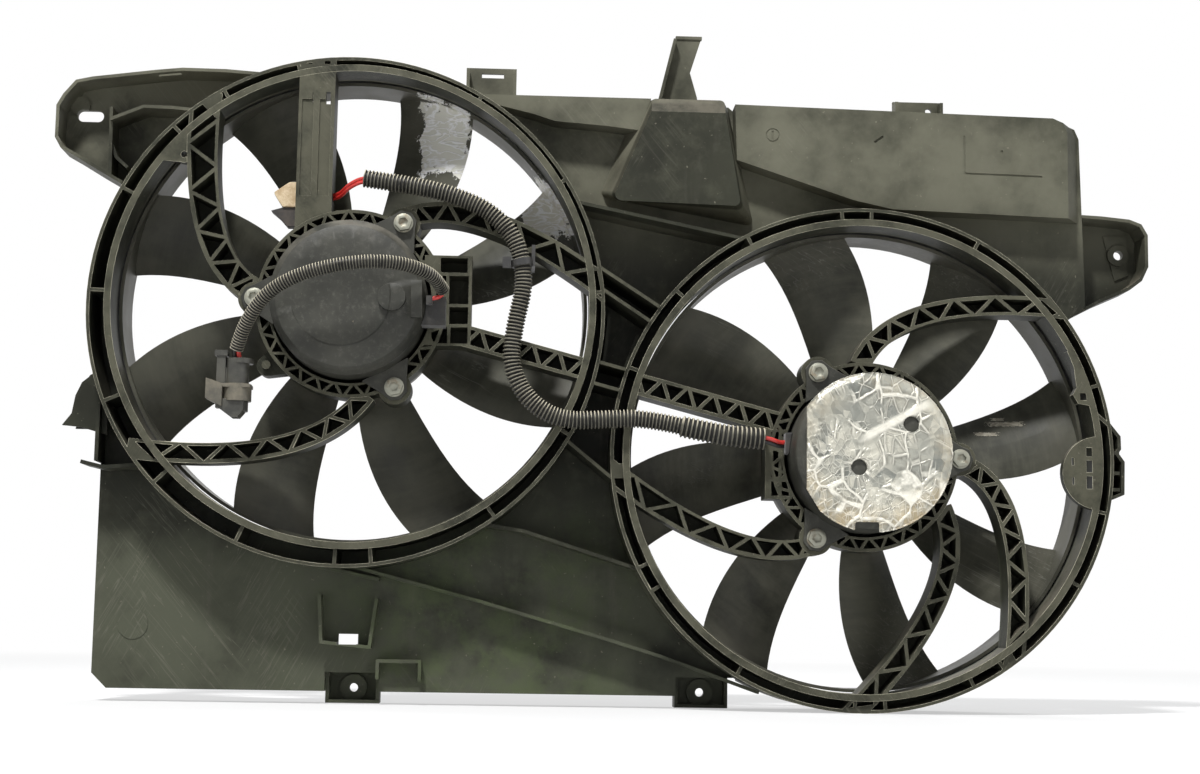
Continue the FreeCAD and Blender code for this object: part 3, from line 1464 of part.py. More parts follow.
def left_ear():
    """Slotted ear at the upper left, with its top web and stiffening ribs."""
    y = size("ear_y")
    wall = size("ear_wall")
    edge = outer_centre(LEFT)[0] - size("left_outer") - size("left_ear_reach")
    top = size("panel_top")
    outline = [
        (edge, top - 33.0),
        (edge, top - 11.0),
        (edge + 4.0, top - 3.5),
        (edge + 12.0, top + 6.3),
        (edge + 23.0, top + 8.8),
        (edge + 66.0, top + 14.7),
        (edge + 84.0, top + 16.7),
        (edge + 114.0, top + 16.5),
        (edge + 145.0, top + 14.5),
        (edge + 165.0, top + 14.0),
        (edge + 165.0, top - 100.0),
        (edge + 56.0, top - 85.0),
        (edge + 46.0, top - 64.0),
        (edge + 30.0, top - 55.0),
        (edge + 14.0, top - 45.5),
        (edge + 4.0, top - 40.0),
    ]
    plate = slab(outline, y, y + wall)
    rim = size("rib_wall")
    shapes = [plate]
    shapes += walls(outline[12:] + outline[:10], y - 24.0, y + wall, rim)
    shapes += walls([(edge + 37.0, top - 58.0), (edge + 36.0, top - 10.5)], y - 22.0, y + wall, rim)
    shapes += walls([(edge + 36.0, top - 20.0), (edge + 58.5, top - 10.5), (edge + 78.0, top - 10.8),
                     (edge + 112.0, top - 13.5)], y - 25.0, y + wall, rim)
    shapes += walls([(edge + 36.0, top - 34.0), (edge + 40.0, top - 45.0), (edge + 48.0, top - 52.0)], y - 18.0,
                    y + wall, rim)
    shapes.append(disc(6.5, y - 2.5, y + 1, (edge + 10.5, top - 5.5)))
    solid = fused(shapes)
    slot_x = edge + 17.5
    slot_z = top - 12.2
    half = size("ear_slot_high") / 2
    run = size("ear_slot_long") / 2 - half
    slot = fused([
        block(slot_x - run, slot_x + run, y - 4, y + wall + 1, slot_z - half, slot_z + half),
        disc(half, y - 4, y + wall + 1, (slot_x - run, slot_z)),
        disc(half, y - 4, y + wall + 1, (slot_x + run, slot_z)),
    ])
    web_slot = block(edge + 66.0, edge + 82.0, y - 19.0, y - 15.0, top, top + 30.0)
    body = plenum(size("rim_y") - 10, size("mating_y") + 10, -size("seam"))
    solid = solid.cut([slot, web_slot, body])
    keep_shape("left_mounting_ear", biggest(solid))


def right_ear():
    """Drilled ear at the right, with its rim and a lip round the bolt hole."""
    y = size("ear_y")
    wall = size("ear_wall")
    x, z = outer_centre(RIGHT)
    edge = x + size("right_outer") + size("right_ear_reach")
    outline = [
        (edge - 70.0, z + 176.0),
        (edge - 31.5, z + 174.3),
        (edge - 12.0, z + 172.5),
        (edge - 4.0, z + 169.5),
        (edge, z + 162.5),
        (edge, z + 140.5),
        (edge - 4.5, z + 131.0),
        (edge - 13.0, z + 124.5),
        (edge - 33.0, z + 115.5),
        (edge - 54.0, z + 104.5),
        (edge - 75.0, z + 95.0),
    ]
    rim = size("rib_wall")
    plate = slab(outline, y, y + wall)
    shapes = [plate] + walls(outline, y - 24.0, y + wall, rim)
    lip = slab([(edge - 24.0, z + 166.0), (edge - 6.5, z + 166.0), (edge - 6.5, z + 138.0), (edge - 16.0, z + 134.0)],
               y - 1.2, y + 1)
    hole_at = (edge - 13.7, z + 152.0)
    boss = disc(7.5, y - 3.0, y + wall, hole_at)
    hole = disc(size("ear_hole"), y - 5, y + wall + 1, hole_at)
    body = plenum(size("rim_y") - 10, size("mating_y") + 10, -size("seam"))
    solid = fused(shapes + [lip, boss]).cut([hole, body])
    keep_shape("right_mounting_ear", biggest(solid))


# Dropping resistor in the top strut

def resistor():
    """Cemented resistor with broken corners, on a dark angled foot with a strap over its far side."""
    (lx, ly, lz), (hx, hy, hz) = resistor_box()
    middle = (lz + hz) / 2
    outline = [(lx, lz + 8.5), (lx + 5.5, lz), (hx, lz), (hx, hz), (lx + 10.0, hz), (lx, middle + 1.5)]
    ceramic = slab(outline, ly, hy)
    keep_shape("dropping_resistor", ceramic)
    gap = 0.1
    wall = top_strut_box()[0] - size("seam")
    foot = slab([(lx - 2.0, lz - 2.5), (lx + 4.0, lz - 7.5), (lx + 9.0, lz - 13.0), (wall, lz - 13.0), (wall, lz - gap),
                 (lx + 6.0, lz - gap)], ly + 1.5, hy + gap)
    strap = block(lx + 8.0, wall, hy + gap, hy + gap + 1.2, lz - 4.0, hz + gap + 1.2)
    lip = block(lx + 11.0, wall, ly + 3.0, hy + gap + 1.2, hz + gap, hz + gap + 1.2)
    keep_shape("resistor_bracket", fused([foot, strap, lip]))


# Heat shield over the right motor

def heat_shield():
    x, z = axis(RIGHT)
    back = size("yoke_back_y")
    thick = size("foil_thick")
    radius = size("yoke_radius") + size("foil_over")
    low = back - thick - size("seam")
    solid = disc(radius, low, low + thick, (x, z))
    flat = block(x - radius - 2, x - 43.5, low - 1, back + 1, z - radius - 2, z + radius + 2)
    chamfer = slab([(x - 60.0, z - 8.0), (x - 44.0, z - 24.0), (x - 20.0, z - 62.0), (x - 60.0, z - 62.0)], low - 1, back + 1)
    notch = block(x - 12.0, x + 3.5, low - 1, back + 1, z - radius - 2, z - 45.5)
    holes = [disc(size("foil_hole"), low - 1, back + 1, (x + 24.5, z + 18.5)),
             disc(size("foil_hole"), low - 1, back + 1, (x - 9.5, z - 10.0))]
    keep_shape("right_heat_shield", solid.cut([flat, chamfer, notch] + holes))


# Harness: tubes of straight runs joined by tangent arcs

def route_wire(points, label):
    """Path through the route's points, with arcs as large as the two runs beside each allow."""
    knots = [Vector(*p) for p in points]
    edges = []
    last = knots[0]
    radii = []
    for before, here, after in zip(knots, knots[1:], knots[2:]):
        back = (before - here)
        ahead = (after - here)
        shorter = min(back.Length, ahead.Length)
        turn = math.pi - back.getAngle(ahead)
        reach = 0.45 * shorter
        radii.append(reach / math.tan(turn / 2))
        enter = here + back.normalize() * reach
        leave = here + ahead.normalize() * reach
        bisector = (back + ahead).normalize()
        radius = radii[-1]
        centre = here + bisector * (radius / math.cos(turn / 2))
        middle = centre - bisector * radius
        edges.append(Part.LineSegment(last, enter).toShape())
        edges.append(Part.Arc(enter, middle, leave).toShape())
        last = leave
    edges.append(Part.LineSegment(last, knots[-1]).toShape())
    print(label, "radii", ", ".join("%.0f" % r for r in radii))
    return Part.Wire(edges)


def route_tube(label, points, radius):
    """Tube along a route, checked against its section times its length."""
    path = route_wire(points, label)
    start = Vector(*points[0])
    heading = Vector(*points[1]) - start
    ring = Part.Wire(Part.makeCircle(radius, start, heading))
    solid = path.makePipeShell([ring], True, True)
    if isinstance(solid, Part.Shell):
        solid = Part.Solid(solid)
    expected = math.pi * radius ** 2 * path.Length
    print("%s length %.0f mm, volume off by %.2f%%" % (label, path.Length, 100 * (solid.Volume / expected - 1)))
    return solid


# Conduit from the resistor's leads, over the carrier arms, to the right motor
HARNESS_ROUTE = [
    (-163.0, -26.5, 347.0),
    (-134.0, -28.5, 343.0),
    (-104.0, -29.5, 337.0),
    (-77.5, -29.0, 326.0),
    (-59.5, -27.8, 305.0),
    (-55.0, -27.6, 278.0),
    (-61.5, -28.0, 250.0),
    (-64.0, -28.5, 223.0),
    (-51.8, -28.0, 200.0),
    (-29.1, -27.0, 187.4),
    (0.8, -26.4, 189.5),
    (27.0, -26.6, 190.5),
    (50.0, -27.5, 185.5),
]
SLEEVE_ROUTE = [
    (50.0, -27.5, 185.5),
    (72.0, -28.2, 181.0),
    (91.0, -28.1, 179.0),
    (109.0, -27.6, 178.0),
]

# Pigtail from the left motor's grommet, looped over its cap and down to the connector
PIGTAIL_ROUTE = [
    (-108.3, -50.0, 269.1),
    (-112.6, -60.0, 274.4),
    (-119.4, -68.0, 278.0),
    (-131.8, -75.0, 281.0),
    (-147.5, -79.0, 281.8),
    (-166.2, -80.5, 280.1),
    (-185.1, -80.0, 276.2),
    (-202.1, -78.0, 270.4),
    (-215.5, -74.0, 263.1),
    (-224.7, -69.0, 254.7),
    (-231.0, -64.0, 245.7),
    (-235.8, -59.0, 236.7),
    (-239.3, -54.0, 227.0),
]
CONNECTOR_TOP = (-237.6, -50.5, 221.0)


def harness():
    conduit = route_tube("harness_conduit", HARNESS_ROUTE, size("conduit_radius"))
    sleeve = route_tube("harness_sleeve", SLEEVE_ROUTE, size("sleeve_tube_radius")).cut(conduit)
    pigtail = route_tube("pigtail_conduit", PIGTAIL_ROUTE, size("pigtail_radius"))
    keep_shape("harness_conduit", conduit)
    keep_shape("harness_sleeve", sleeve)
    keep_shape("pigtail_conduit", pigtail)
    wire = size("wire_radius")
    start = HARNESS_ROUTE[0]
    low, high = resistor_box()
    lead = [
        (high[0], high[1] - 5.5, low[2] + 8.0),
        (high[0] + 11.0, high[1] - 7.0, low[2] + 9.0),
        (start[0] - 11.0, start[1] + 3.4, start[2] - 3.0),
        start,
    ]
    end = SLEEVE_ROUTE[-1]
    entry = right_lead_entry()
    tail = [end, ((end[0] + entry[0]) / 2, end[1] + 1.5, end[2] - 0.6), entry]
    leads = [route_tube("resistor_lead", lead, wire), route_tube("right_motor_lead", tail, wire)]
    ceramic = block(low[0], high[0], low[1], high[1], low[2], high[2])
    gx, gy, gz = right_lead_entry()
    boot = block(gx, gx + 7.0, gy - 5.0, gy + 5.0, gz - 7.0, gz + 7.0)
    leads = [biggest(item.cut([conduit, sleeve, ceramic, boot])) for item in leads]
    keep_shape("harness_leads", Part.makeCompound(leads))
    x, y, z = CONNECTOR_TOP
    stop = PIGTAIL_ROUTE[-1]
    ends = [stop, (stop[0] + 0.2, stop[1] + 1.7, stop[2] - 3.6), (x - 0.6, y, z - 7.0)]
    pair = route_tube("pigtail_leads", ends, wire * 1.6).cut([pigtail, plug_shell()])
    first = PIGTAIL_ROUTE[0]
    entry = left_lead_entry()
    back = [
        first,
        (first[0] + 0.8, first[1] + 2.2, first[2] - 2.4),
        (first[0] - 2.5, first[1] + 2.5, first[2] - 6.0),
        entry,
    ]
    short = route_tube("left_motor_lead", back, wire).cut([pigtail, left_neck()])
    keep_shape("pigtail_leads", Part.makeCompound([biggest(pair), biggest(short)]))


def left_lead_entry():
    """Where the left motor's lead meets its grommet."""
    x, z = axis(LEFT)
    return (x + size("yoke_radius") + 4.0, PIGTAIL_ROUTE[0][1] + 1.5, z - 1.5)


def left_neck():
    """Neck of the left motor's grommet, round the lead."""
    edge = size("left_x") + size("yoke_radius")
    x, y, z = left_lead_entry()
    return block(edge - 4.0, x, y - 2.6, y + 4.0, z - 3.0, z + 2.6)


def right_lead_entry():
    """Where the right motor's lead meets its grommet."""
    end = SLEEVE_ROUTE[-1]
    return (size("right_x") - size("yoke_radius") - 3.0, end[1] + 1.8, end[2] - 2.4)


def ring_about(spot, heading, outer, inner, width):
    """Band round a tube at a spot of its route."""
    start = Vector(*spot) - Vector(*heading).normalize() * (width / 2)
    band = Part.makeCylinder(outer, width, start, Vector(*heading))
    return band.cut(Part.makeCylinder(inner, width, start, Vector(*heading)))


def cable_tie():
    """Tie that holds the conduit against the lower edge of the upper right arm."""
    width = size("tie_width")
    radius = size("conduit_radius")
    start = Vector(*HARNESS_ROUTE[4])
    end = Vector(*HARNESS_ROUTE[5])
    spot = start + (end - start) * 0.47
    band = ring_about(spot, end - start, radius + 1.4, radius + 0.1, width)
    head_x = spot.x - radius - 1.2
    head = block(head_x - 5.8, head_x, spot.y - 4.5, spot.y + 3.0, spot.z - 3.2, spot.z + 3.2)
    side = spot.x + radius
    tail = block(side + 0.2, side + 2.6, spot.y - 2.0, size("rim_y") + size("arm_depth") - 6.0, spot.z - 2.3, spot.z + 12.0)
    clear = Part.makeCylinder(radius + 0.1, 40.0, spot - (end - start).normalize() * 20.0, end - start)
    tail = tail.cut([clear, truss_block(*arm_plan("left_upper_right_arm"))])
    keep_shape("cable_tie", fused([band, head, biggest(tail)]))


def grommets():
    """Rubber grommets where the leads leave the motors."""
    x, z = axis(LEFT)
    edge = x + size("yoke_radius")
    base = block(edge - 4.0, edge + 12.5, left_lead_entry()[1] + 2.5, size("rim_y") - 12.0, z - 17.5, z + 1.0)
    yoke_tool = disc(size("yoke_radius") + size("glue_gap"), -70, 10, (x, z))
    keep_shape("left_lead_grommet", biggest(fused([base, left_neck()]).cut(yoke_tool)))
    gx, gy, gz = right_lead_entry()
    boot = block(gx, gx + 7.0, gy - 5.0, gy + 5.0, gz - 7.0, gz + 7.0)
    yoke_right = disc(size("yoke_radius") + size("glue_gap"), -70, 10, axis(RIGHT))
    keep_shape("right_lead_grommet", biggest(boot.cut(yoke_right)))


def plug_shell():
    """Plug body: round socket with a lipped mouth, a latch arm beside it and a tapered nose."""
    x, y, z = CONNECTOR_TOP
    half = size("connector_width") / 2
    deep = size("connector_deep") / 2
    low = z - size("connector_long")
    barrel_x = x - 0.7
    shapes = [
        Part.makeCylinder(half - 2.8, 34.0, Vector(barrel_x, y, z - 34.0)),
        Part.makeCylinder(half - 2.2, 3.2, Vector(x + 1.2, y, z - 3.2)),
        block(barrel_x - half - 3.2, barrel_x - half + 2.4, y - 3.5, y + 3.5, z - 32.0, z + 3.0),
        block(barrel_x - half - 4.6, barrel_x - half + 3.6, y - 4.5, y + 4.5, z + 1.5, z + 5.0),
        block(barrel_x - half, barrel_x, y - 2.5, y + 2.5, z - 32.0, z - 6.0),
        slab([(barrel_x - half - 2.7, z - 26.5), (barrel_x - half - 2.7, low + 7.0), (barrel_x - 3.0, low),
              (barrel_x + 1.5, low), (barrel_x + half - 5.2, low + 4.0), (barrel_x + half - 4.8, z - 26.5)],
             y - deep + 0.5, y + deep - 0.5),
    ]
    mouth = Part.makeCylinder(half - 4.8, 7.0, Vector(barrel_x + 0.4, y, z - 6.0))
    socket = block(barrel_x - 5.0, barrel_x + 1.0, y - 3.5, y + 3.5, low - 1, low + 8.0)
    slit = block(barrel_x - half - 5.0, barrel_x - half + 4.0, y - 1.2, y + 1.2, z + 3.0, z + 6.0)
    return fused(shapes).cut([mouth, socket, slit])


def connector():
    """Two-way plug on the pigtail, with its locking collar."""
    x, y, z = CONNECTOR_TOP
    half = size("connector_width") / 2
    deep = size("connector_deep") / 2
    barrel_x = x - 0.7
    keep_shape("pigtail_connector", plug_shell())
    band = Part.makeCylinder(half - 0.9, 11.0, Vector(barrel_x, y, z - 27.5))
    wing = slab([(barrel_x - half - 9.0, z - 13.5), (barrel_x - half - 9.0, z - 26.5), (barrel_x - half + 1.5, z - 31.5),
                 (barrel_x - half + 1.5, z - 17.0)], y - deep - 1.5, y + deep - 3.5)
    lip = block(barrel_x - half - 8.0, barrel_x + half - 1.0, y - deep - 1.0, y + deep, z - 19.0, z - 16.8)
    void = plug_shell()
    clear = Part.makeCylinder(half - 2.75, 40.0, Vector(barrel_x, y, z - 36.0))
    keep_shape("connector_lock", biggest(fused([band, wing, lip]).cut([clear, void])))


def build():
    for side in (LEFT, RIGHT):
        barrel(side)
    shroud_panel()
    shroud_skirt()
    bottom_tabs()
    left_ear()
    right_ear()
    for label in ARMS:
        arm(label)
    cross_strut()
    top_strut()
    for side in (LEFT, RIGHT):
        basket(side)
        motor(side)
        fan(side)
        fan_nut(side)
    heat_shield()
    resistor()
    harness()
    cable_tie()
    grommets()
    connector()


def check_and_write():
    """Stops on any failed object or shape, then writes every sub-part."""
    doc.recompute()
    for item in doc.Objects:
        if "Invalid" in item.State or "Error" in item.State:
            raise RuntimeError("failed object: " + item.Label)
    for item in sub_parts:
        shape = item.Shape
        if shape.isNull() or not shape.isValid() or shape.Volume <= 0:
            raise RuntimeError("bad shape: " + item.Label)
    os.makedirs("parts", exist_ok=True)
    for item in sub_parts:
        item.Shape.exportStep("parts/" + item.Label + ".step")
    print(len(sub_parts), "sub-parts written")


build()
check_and_write()
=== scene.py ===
import math

import bmesh
import bpy
from mathutils import Matrix, Vector, noise


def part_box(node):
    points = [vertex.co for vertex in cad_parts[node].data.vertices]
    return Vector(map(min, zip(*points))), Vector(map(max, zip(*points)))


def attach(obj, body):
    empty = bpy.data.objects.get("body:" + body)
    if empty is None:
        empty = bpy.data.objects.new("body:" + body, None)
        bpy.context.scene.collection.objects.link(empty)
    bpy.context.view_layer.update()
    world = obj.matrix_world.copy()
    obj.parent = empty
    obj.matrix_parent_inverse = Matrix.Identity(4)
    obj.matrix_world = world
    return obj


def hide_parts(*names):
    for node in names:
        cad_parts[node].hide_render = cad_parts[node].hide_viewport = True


# Twin radiator cooling fan module: weathered black mouldings, two banded fans, two motors, one behind
# creased foil, and corrugated conduits.

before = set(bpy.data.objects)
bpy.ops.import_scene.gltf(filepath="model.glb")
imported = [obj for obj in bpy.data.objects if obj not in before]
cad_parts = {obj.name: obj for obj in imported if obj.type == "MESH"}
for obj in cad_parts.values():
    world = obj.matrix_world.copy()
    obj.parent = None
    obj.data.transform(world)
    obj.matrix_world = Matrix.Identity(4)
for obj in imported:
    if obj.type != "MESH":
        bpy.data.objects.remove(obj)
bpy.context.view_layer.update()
bpy.ops.object.select_all(action="DESELECT")

LEFT_AXIS = Vector((-0.170, 0.0, 0.264))
RIGHT_AXIS = Vector((0.172, 0.0, 0.1685))


# Camera, light and floor

def set_up_camera():
    """The photograph's viewpoint: behind the module, low, a little left of its middle."""
    right = Vector((0.99897092, -0.04259213, 0.01558898))
    up = Vector((-0.02067707, -0.12176337, 0.99234376))
    forward = Vector((0.04036786, 0.99164489, 0.12251875))
    bpy.ops.object.camera_add(location=(-0.05707, -1.3200, 0.05086))
    camera = bpy.context.object
    camera.name = "photo_camera"
    camera.rotation_euler = Matrix((right, up, -forward)).transposed().to_euler()
    camera.data.lens = 59.37
    camera.data.sensor_width = 36.0
    camera.data.clip_start = 0.01
    bpy.context.scene.camera = camera


def area_lamp(name, place, target, side, watts):
    bpy.ops.object.light_add(type="AREA", location=place)
    lamp = bpy.context.object
    lamp.name = name
    lamp.data.shape = "DISK"
    lamp.data.size = side
    lamp.data.energy = watts
    lamp.rotation_euler = (Vector(target) - Vector(place)).to_track_quat("-Z", "Y").to_euler()


def seen_rays(tree):
    """1 for the camera's own rays and for those that a mirror or glass sends on, 0 for the rest."""
    path = tree.nodes.new("ShaderNodeLightPath")
    direct = tree.nodes.new("ShaderNodeMath")
    direct.operation = "MAXIMUM"
    tree.links.new(path.outputs["Is Camera Ray"], direct.inputs[0])
    tree.links.new(path.outputs["Is Transmission Ray"], direct.inputs[1])
    shown = tree.nodes.new("ShaderNodeMath")
    shown.operation = "MAXIMUM"
    tree.links.new(direct.outputs[0], shown.inputs[0])
    tree.links.new(path.outputs["Is Glossy Ray"], shown.inputs[1])
    return shown.outputs[0]


def set_up_light():
    area_lamp("key_lamp", (-0.55, -1.35, 2.35), (-0.03, 0.0, 0.22), 0.3, 80.0)
    area_lamp("fill_lamp", (1.9, -1.6, 0.9), (0.05, 0.0, 0.2), 1.6, 7.0)
    area_lamp("back_lamp", (0.3, 1.6, 1.9), (0.0, 0.0, 0.25), 1.4, 26.0)
    world = bpy.context.scene.world or bpy.data.worlds.new("studio")
    bpy.context.scene.world = world
    world.use_nodes = True
    tree = world.node_tree
    tree.nodes.clear()
    out = tree.nodes.new("ShaderNodeOutputWorld")
    seen = tree.nodes.new("ShaderNodeBackground")
    seen.inputs["Color"].default_value = (1, 1, 1, 1)
    seen.inputs["Strength"].default_value = 1.0
    glow = tree.nodes.new("ShaderNodeBackground")
    glow.inputs["Color"].default_value = (0.93, 0.96, 1.0, 1)
    glow.inputs["Strength"].default_value = 0.2
    mix = tree.nodes.new("ShaderNodeMixShader")
    tree.links.new(seen_rays(tree), mix.inputs[0])
    tree.links.new(glow.outputs[0], mix.inputs[1])
    tree.links.new(seen.outputs[0], mix.inputs[2])
    tree.links.new(mix.outputs[0], out.inputs["Surface"])


def set_up_floor():
    bpy.ops.mesh.primitive_plane_add(size=14.0, location=(0, 0, 0))
    floor = bpy.context.object
    floor.name = "studio_floor"
    material = bpy.data.materials.new("studio_floor_paper")
    material.use_nodes = True
    tree = material.node_tree
    shader = tree.nodes["Principled BSDF"]
    shader.inputs["Base Color"].default_value = (0.86, 0.86, 0.86, 1)
    shader.inputs["Roughness"].default_value = 0.9
    glow = tree.nodes.new("ShaderNodeEmission")
    glow.inputs["Color"].default_value = (1, 1, 1, 1)
    spot = tree.nodes.new("ShaderNodeTexCoord")
    away = tree.nodes.new("ShaderNodeVectorMath")
    away.operation = "LENGTH"
    tree.links.new(spot.outputs["Object"], away.inputs[0])
    fade = tree.nodes.new("ShaderNodeMapRange")
    fade.interpolation_type = "SMOOTHSTEP"
    fade.inputs["From Min"].default_value = 0.9
    fade.inputs["From Max"].default_value = 2.6
    fade.inputs["To Min"].default_value = 0.5
    tree.links.new(away.outputs["Value"], fade.inputs["Value"])
    share = tree.nodes.new("ShaderNodeMath")
    share.operation = "MULTIPLY"
    tree.links.new(seen_rays(tree), share.inputs[0])
    tree.links.new(fade.outputs["Result"], share.inputs[1])
    mix = tree.nodes.new("ShaderNodeMixShader")
    tree.links.new(share.outputs[0], mix.inputs[0])
    tree.links.new(shader.outputs[0], mix.inputs[1])
    tree.links.new(glow.outputs[0], mix.inputs[2])
    tree.links.new(mix.outputs[0], tree.nodes["Material Output"].inputs["Surface"])
    floor.data.materials.append(material)


# Node helpers for the finishes

class Finish:
    """A material under construction: a principled shader and the nodes that drive it."""

    def __init__(self, name, rough=0.5, metal=0.0, coat=0.0, sheen=0.0, shine=0.5):
        self.material = bpy.data.materials.new(name)
        self.material.use_nodes = True
        self.tree = self.material.node_tree
        self.shader = self.tree.nodes["Principled BSDF"]
        self.shader.inputs["Base Color"].default_value = (0.05, 0.05, 0.05, 1)
        self.shader.inputs["Roughness"].default_value = rough
        self.shader.inputs["Metallic"].default_value = metal
        self.shader.inputs["Coat Weight"].default_value = coat
        self.shader.inputs["Sheen Weight"].default_value = sheen
        self.shader.inputs["Specular IOR Level"].default_value = shine
        self.spot = self.tree.nodes.new("ShaderNodeTexCoord").outputs["Object"]

    def node(self, kind, **inputs):
        made = self.tree.nodes.new(kind)
        for name, value in inputs.items():
            self.feed(made.inputs[name.replace("_", " ")], value)
        return made

    def feed(self, socket, value):
        if isinstance(value, bpy.types.NodeSocket):
            self.tree.links.new(value, socket)
        else:
            socket.default_value = value

    def placed(self, shift=(0, 0, 0), turn=(0, 0, 0), scale=(1, 1, 1)):
        made = self.node("ShaderNodeMapping", Vector=self.spot)
        made.inputs["Location"].default_value = shift
        made.inputs["Rotation"].default_value = turn
        made.inputs["Scale"].default_value = scale
        return made.outputs[0]

    def noise(self, scale, detail=4.0, rough=0.55, at=None, distortion=0.0):
        made = self.node("ShaderNodeTexNoise", Vector=at or self.spot, Scale=scale, Detail=detail,
                         Roughness=rough, Distortion=distortion)
        return made.outputs["Fac"]

    def ramp(self, value, low, high):
        """Maps a value so that low gives 0 and high gives 1, smoothly."""
        made = self.node("ShaderNodeMapRange", Value=value, From_Min=low, From_Max=high)
        made.interpolation_type = "SMOOTHSTEP"
        return made.outputs["Result"]

    def math(self, kind, a, b=0.0):
        made = self.tree.nodes.new("ShaderNodeMath")
        made.operation = kind
        self.feed(made.inputs[0], a)
        self.feed(made.inputs[1], b)
        return made.outputs[0]

    def times(self, a, b):
        return self.math("MULTIPLY", a, b)

    def plus(self, a, b):
        return self.math("ADD", a, b)

    def minus(self, a, b):
        return self.math("SUBTRACT", a, b)

    def over(self, a, b):
        return self.math("DIVIDE", a, b)

    def higher(self, a, b):
        return self.math("MAXIMUM", a, b)

    def unsigned(self, a):
        return self.math("ABSOLUTE", a)

    def distance(self, across, upward):
        """How far a spot lies from an axis."""
        return self.math("SQRT", self.plus(self.times(across, across), self.times(upward, upward)))

    def split(self, vector):
        made = self.tree.nodes.new("ShaderNodeSeparateXYZ")
        self.feed(made.inputs[0], vector)
        return made.outputs

    def mix(self, share, a, b):
        made = self.tree.nodes.new("ShaderNodeMix")
        made.data_type = "RGBA"
        self.feed(made.inputs["Factor"], share)
        for socket, color in ((made.inputs[6], a), (made.inputs[7], b)):
            self.feed(socket, color if isinstance(color, bpy.types.NodeSocket) else (*color, 1))
        return made.outputs[2]

    def layer(self, color, mask, strength, tone):
        """A tone laid over a colour where the mask is 1."""
        return self.mix(self.times(mask, strength), color, tone)

    def facing(self):
        """How much the surface faces right, forward and up, each from -1 to 1."""
        return self.split(self.tree.nodes.new("ShaderNodeNewGeometry").outputs["Normal"])

    def own(self, name):
        """A value that the mesh itself carries."""
        made = self.tree.nodes.new("ShaderNodeAttribute")
        made.attribute_name = name
        return made.outputs["Fac"]

    def color(self, value):
        self.feed(self.shader.inputs["Base Color"], value)

    def rough(self, value):
        self.feed(self.shader.inputs["Roughness"], value)

    def bump(self, height, distance, strength=1.0):
        """Adds a bump layer over those made before."""
        made = self.node("ShaderNodeBump", Height=height, Distance=distance, Strength=strength)
        before = self.shader.inputs["Normal"].links
        if before:
            self.tree.links.new(before[0].from_socket, made.inputs["Normal"])
        self.tree.links.new(made.outputs[0], self.shader.inputs["Normal"])

    def silver_mark(self, middle, half, tone, place):
        """A worn pale patch with wrinkles and a ragged outline, laid over the colour."""
        tatter = self.noise(1.0 / min(half), detail=6.0, rough=0.75)
        ragged = self.times(self.minus(tatter, 0.5), 2.2)
        across = self.unsigned(self.over(self.minus(place[0], middle[0]), half[0]))
        upward = self.unsigned(self.over(self.minus(place[1], middle[1]), half[1]))
        reach = self.plus(self.higher(across, upward), ragged)
        mask = self.ramp(reach, 1.04, 0.98)
        lengthwise = self.placed(scale=(55.0, 55.0, 140.0))
        wrinkle = self.noise(1.0, detail=3.0, rough=0.5, at=lengthwise, distortion=1.5)
        crest = self.minus(1.0, self.ramp(self.unsigned(self.minus(wrinkle, 0.5)), 0.0, 0.09))
        pale = self.mix(crest, tone, tuple(min(0.86, 1.6 * c) for c in tone))
        before = self.shader.inputs["Base Color"].links[0].from_socket
        self.color(self.mix(mask, before, pale))
        self.bump(self.times(mask, crest), 0.0004, 0.7)

    def scratches(self, turn, scale=1.0, width=0.02):
        """Thin lines that run one way, as a mask."""
        stretched = self.node("ShaderNodeMapping", Vector=self.placed(turn=turn))
        stretched.inputs["Scale"].default_value = (260 * scale, 260 * scale, 9 * scale)
        wave = self.noise(1.0, detail=2.0, at=stretched.outputs[0])
        near = self.unsigned(self.minus(wave, 0.5))
        lines = self.minus(1.0, self.ramp(near, 0.0, width))
        patches = self.ramp(self.noise(9.0 * scale, detail=2.0), 0.52, 0.66)
        return self.times(lines, patches)


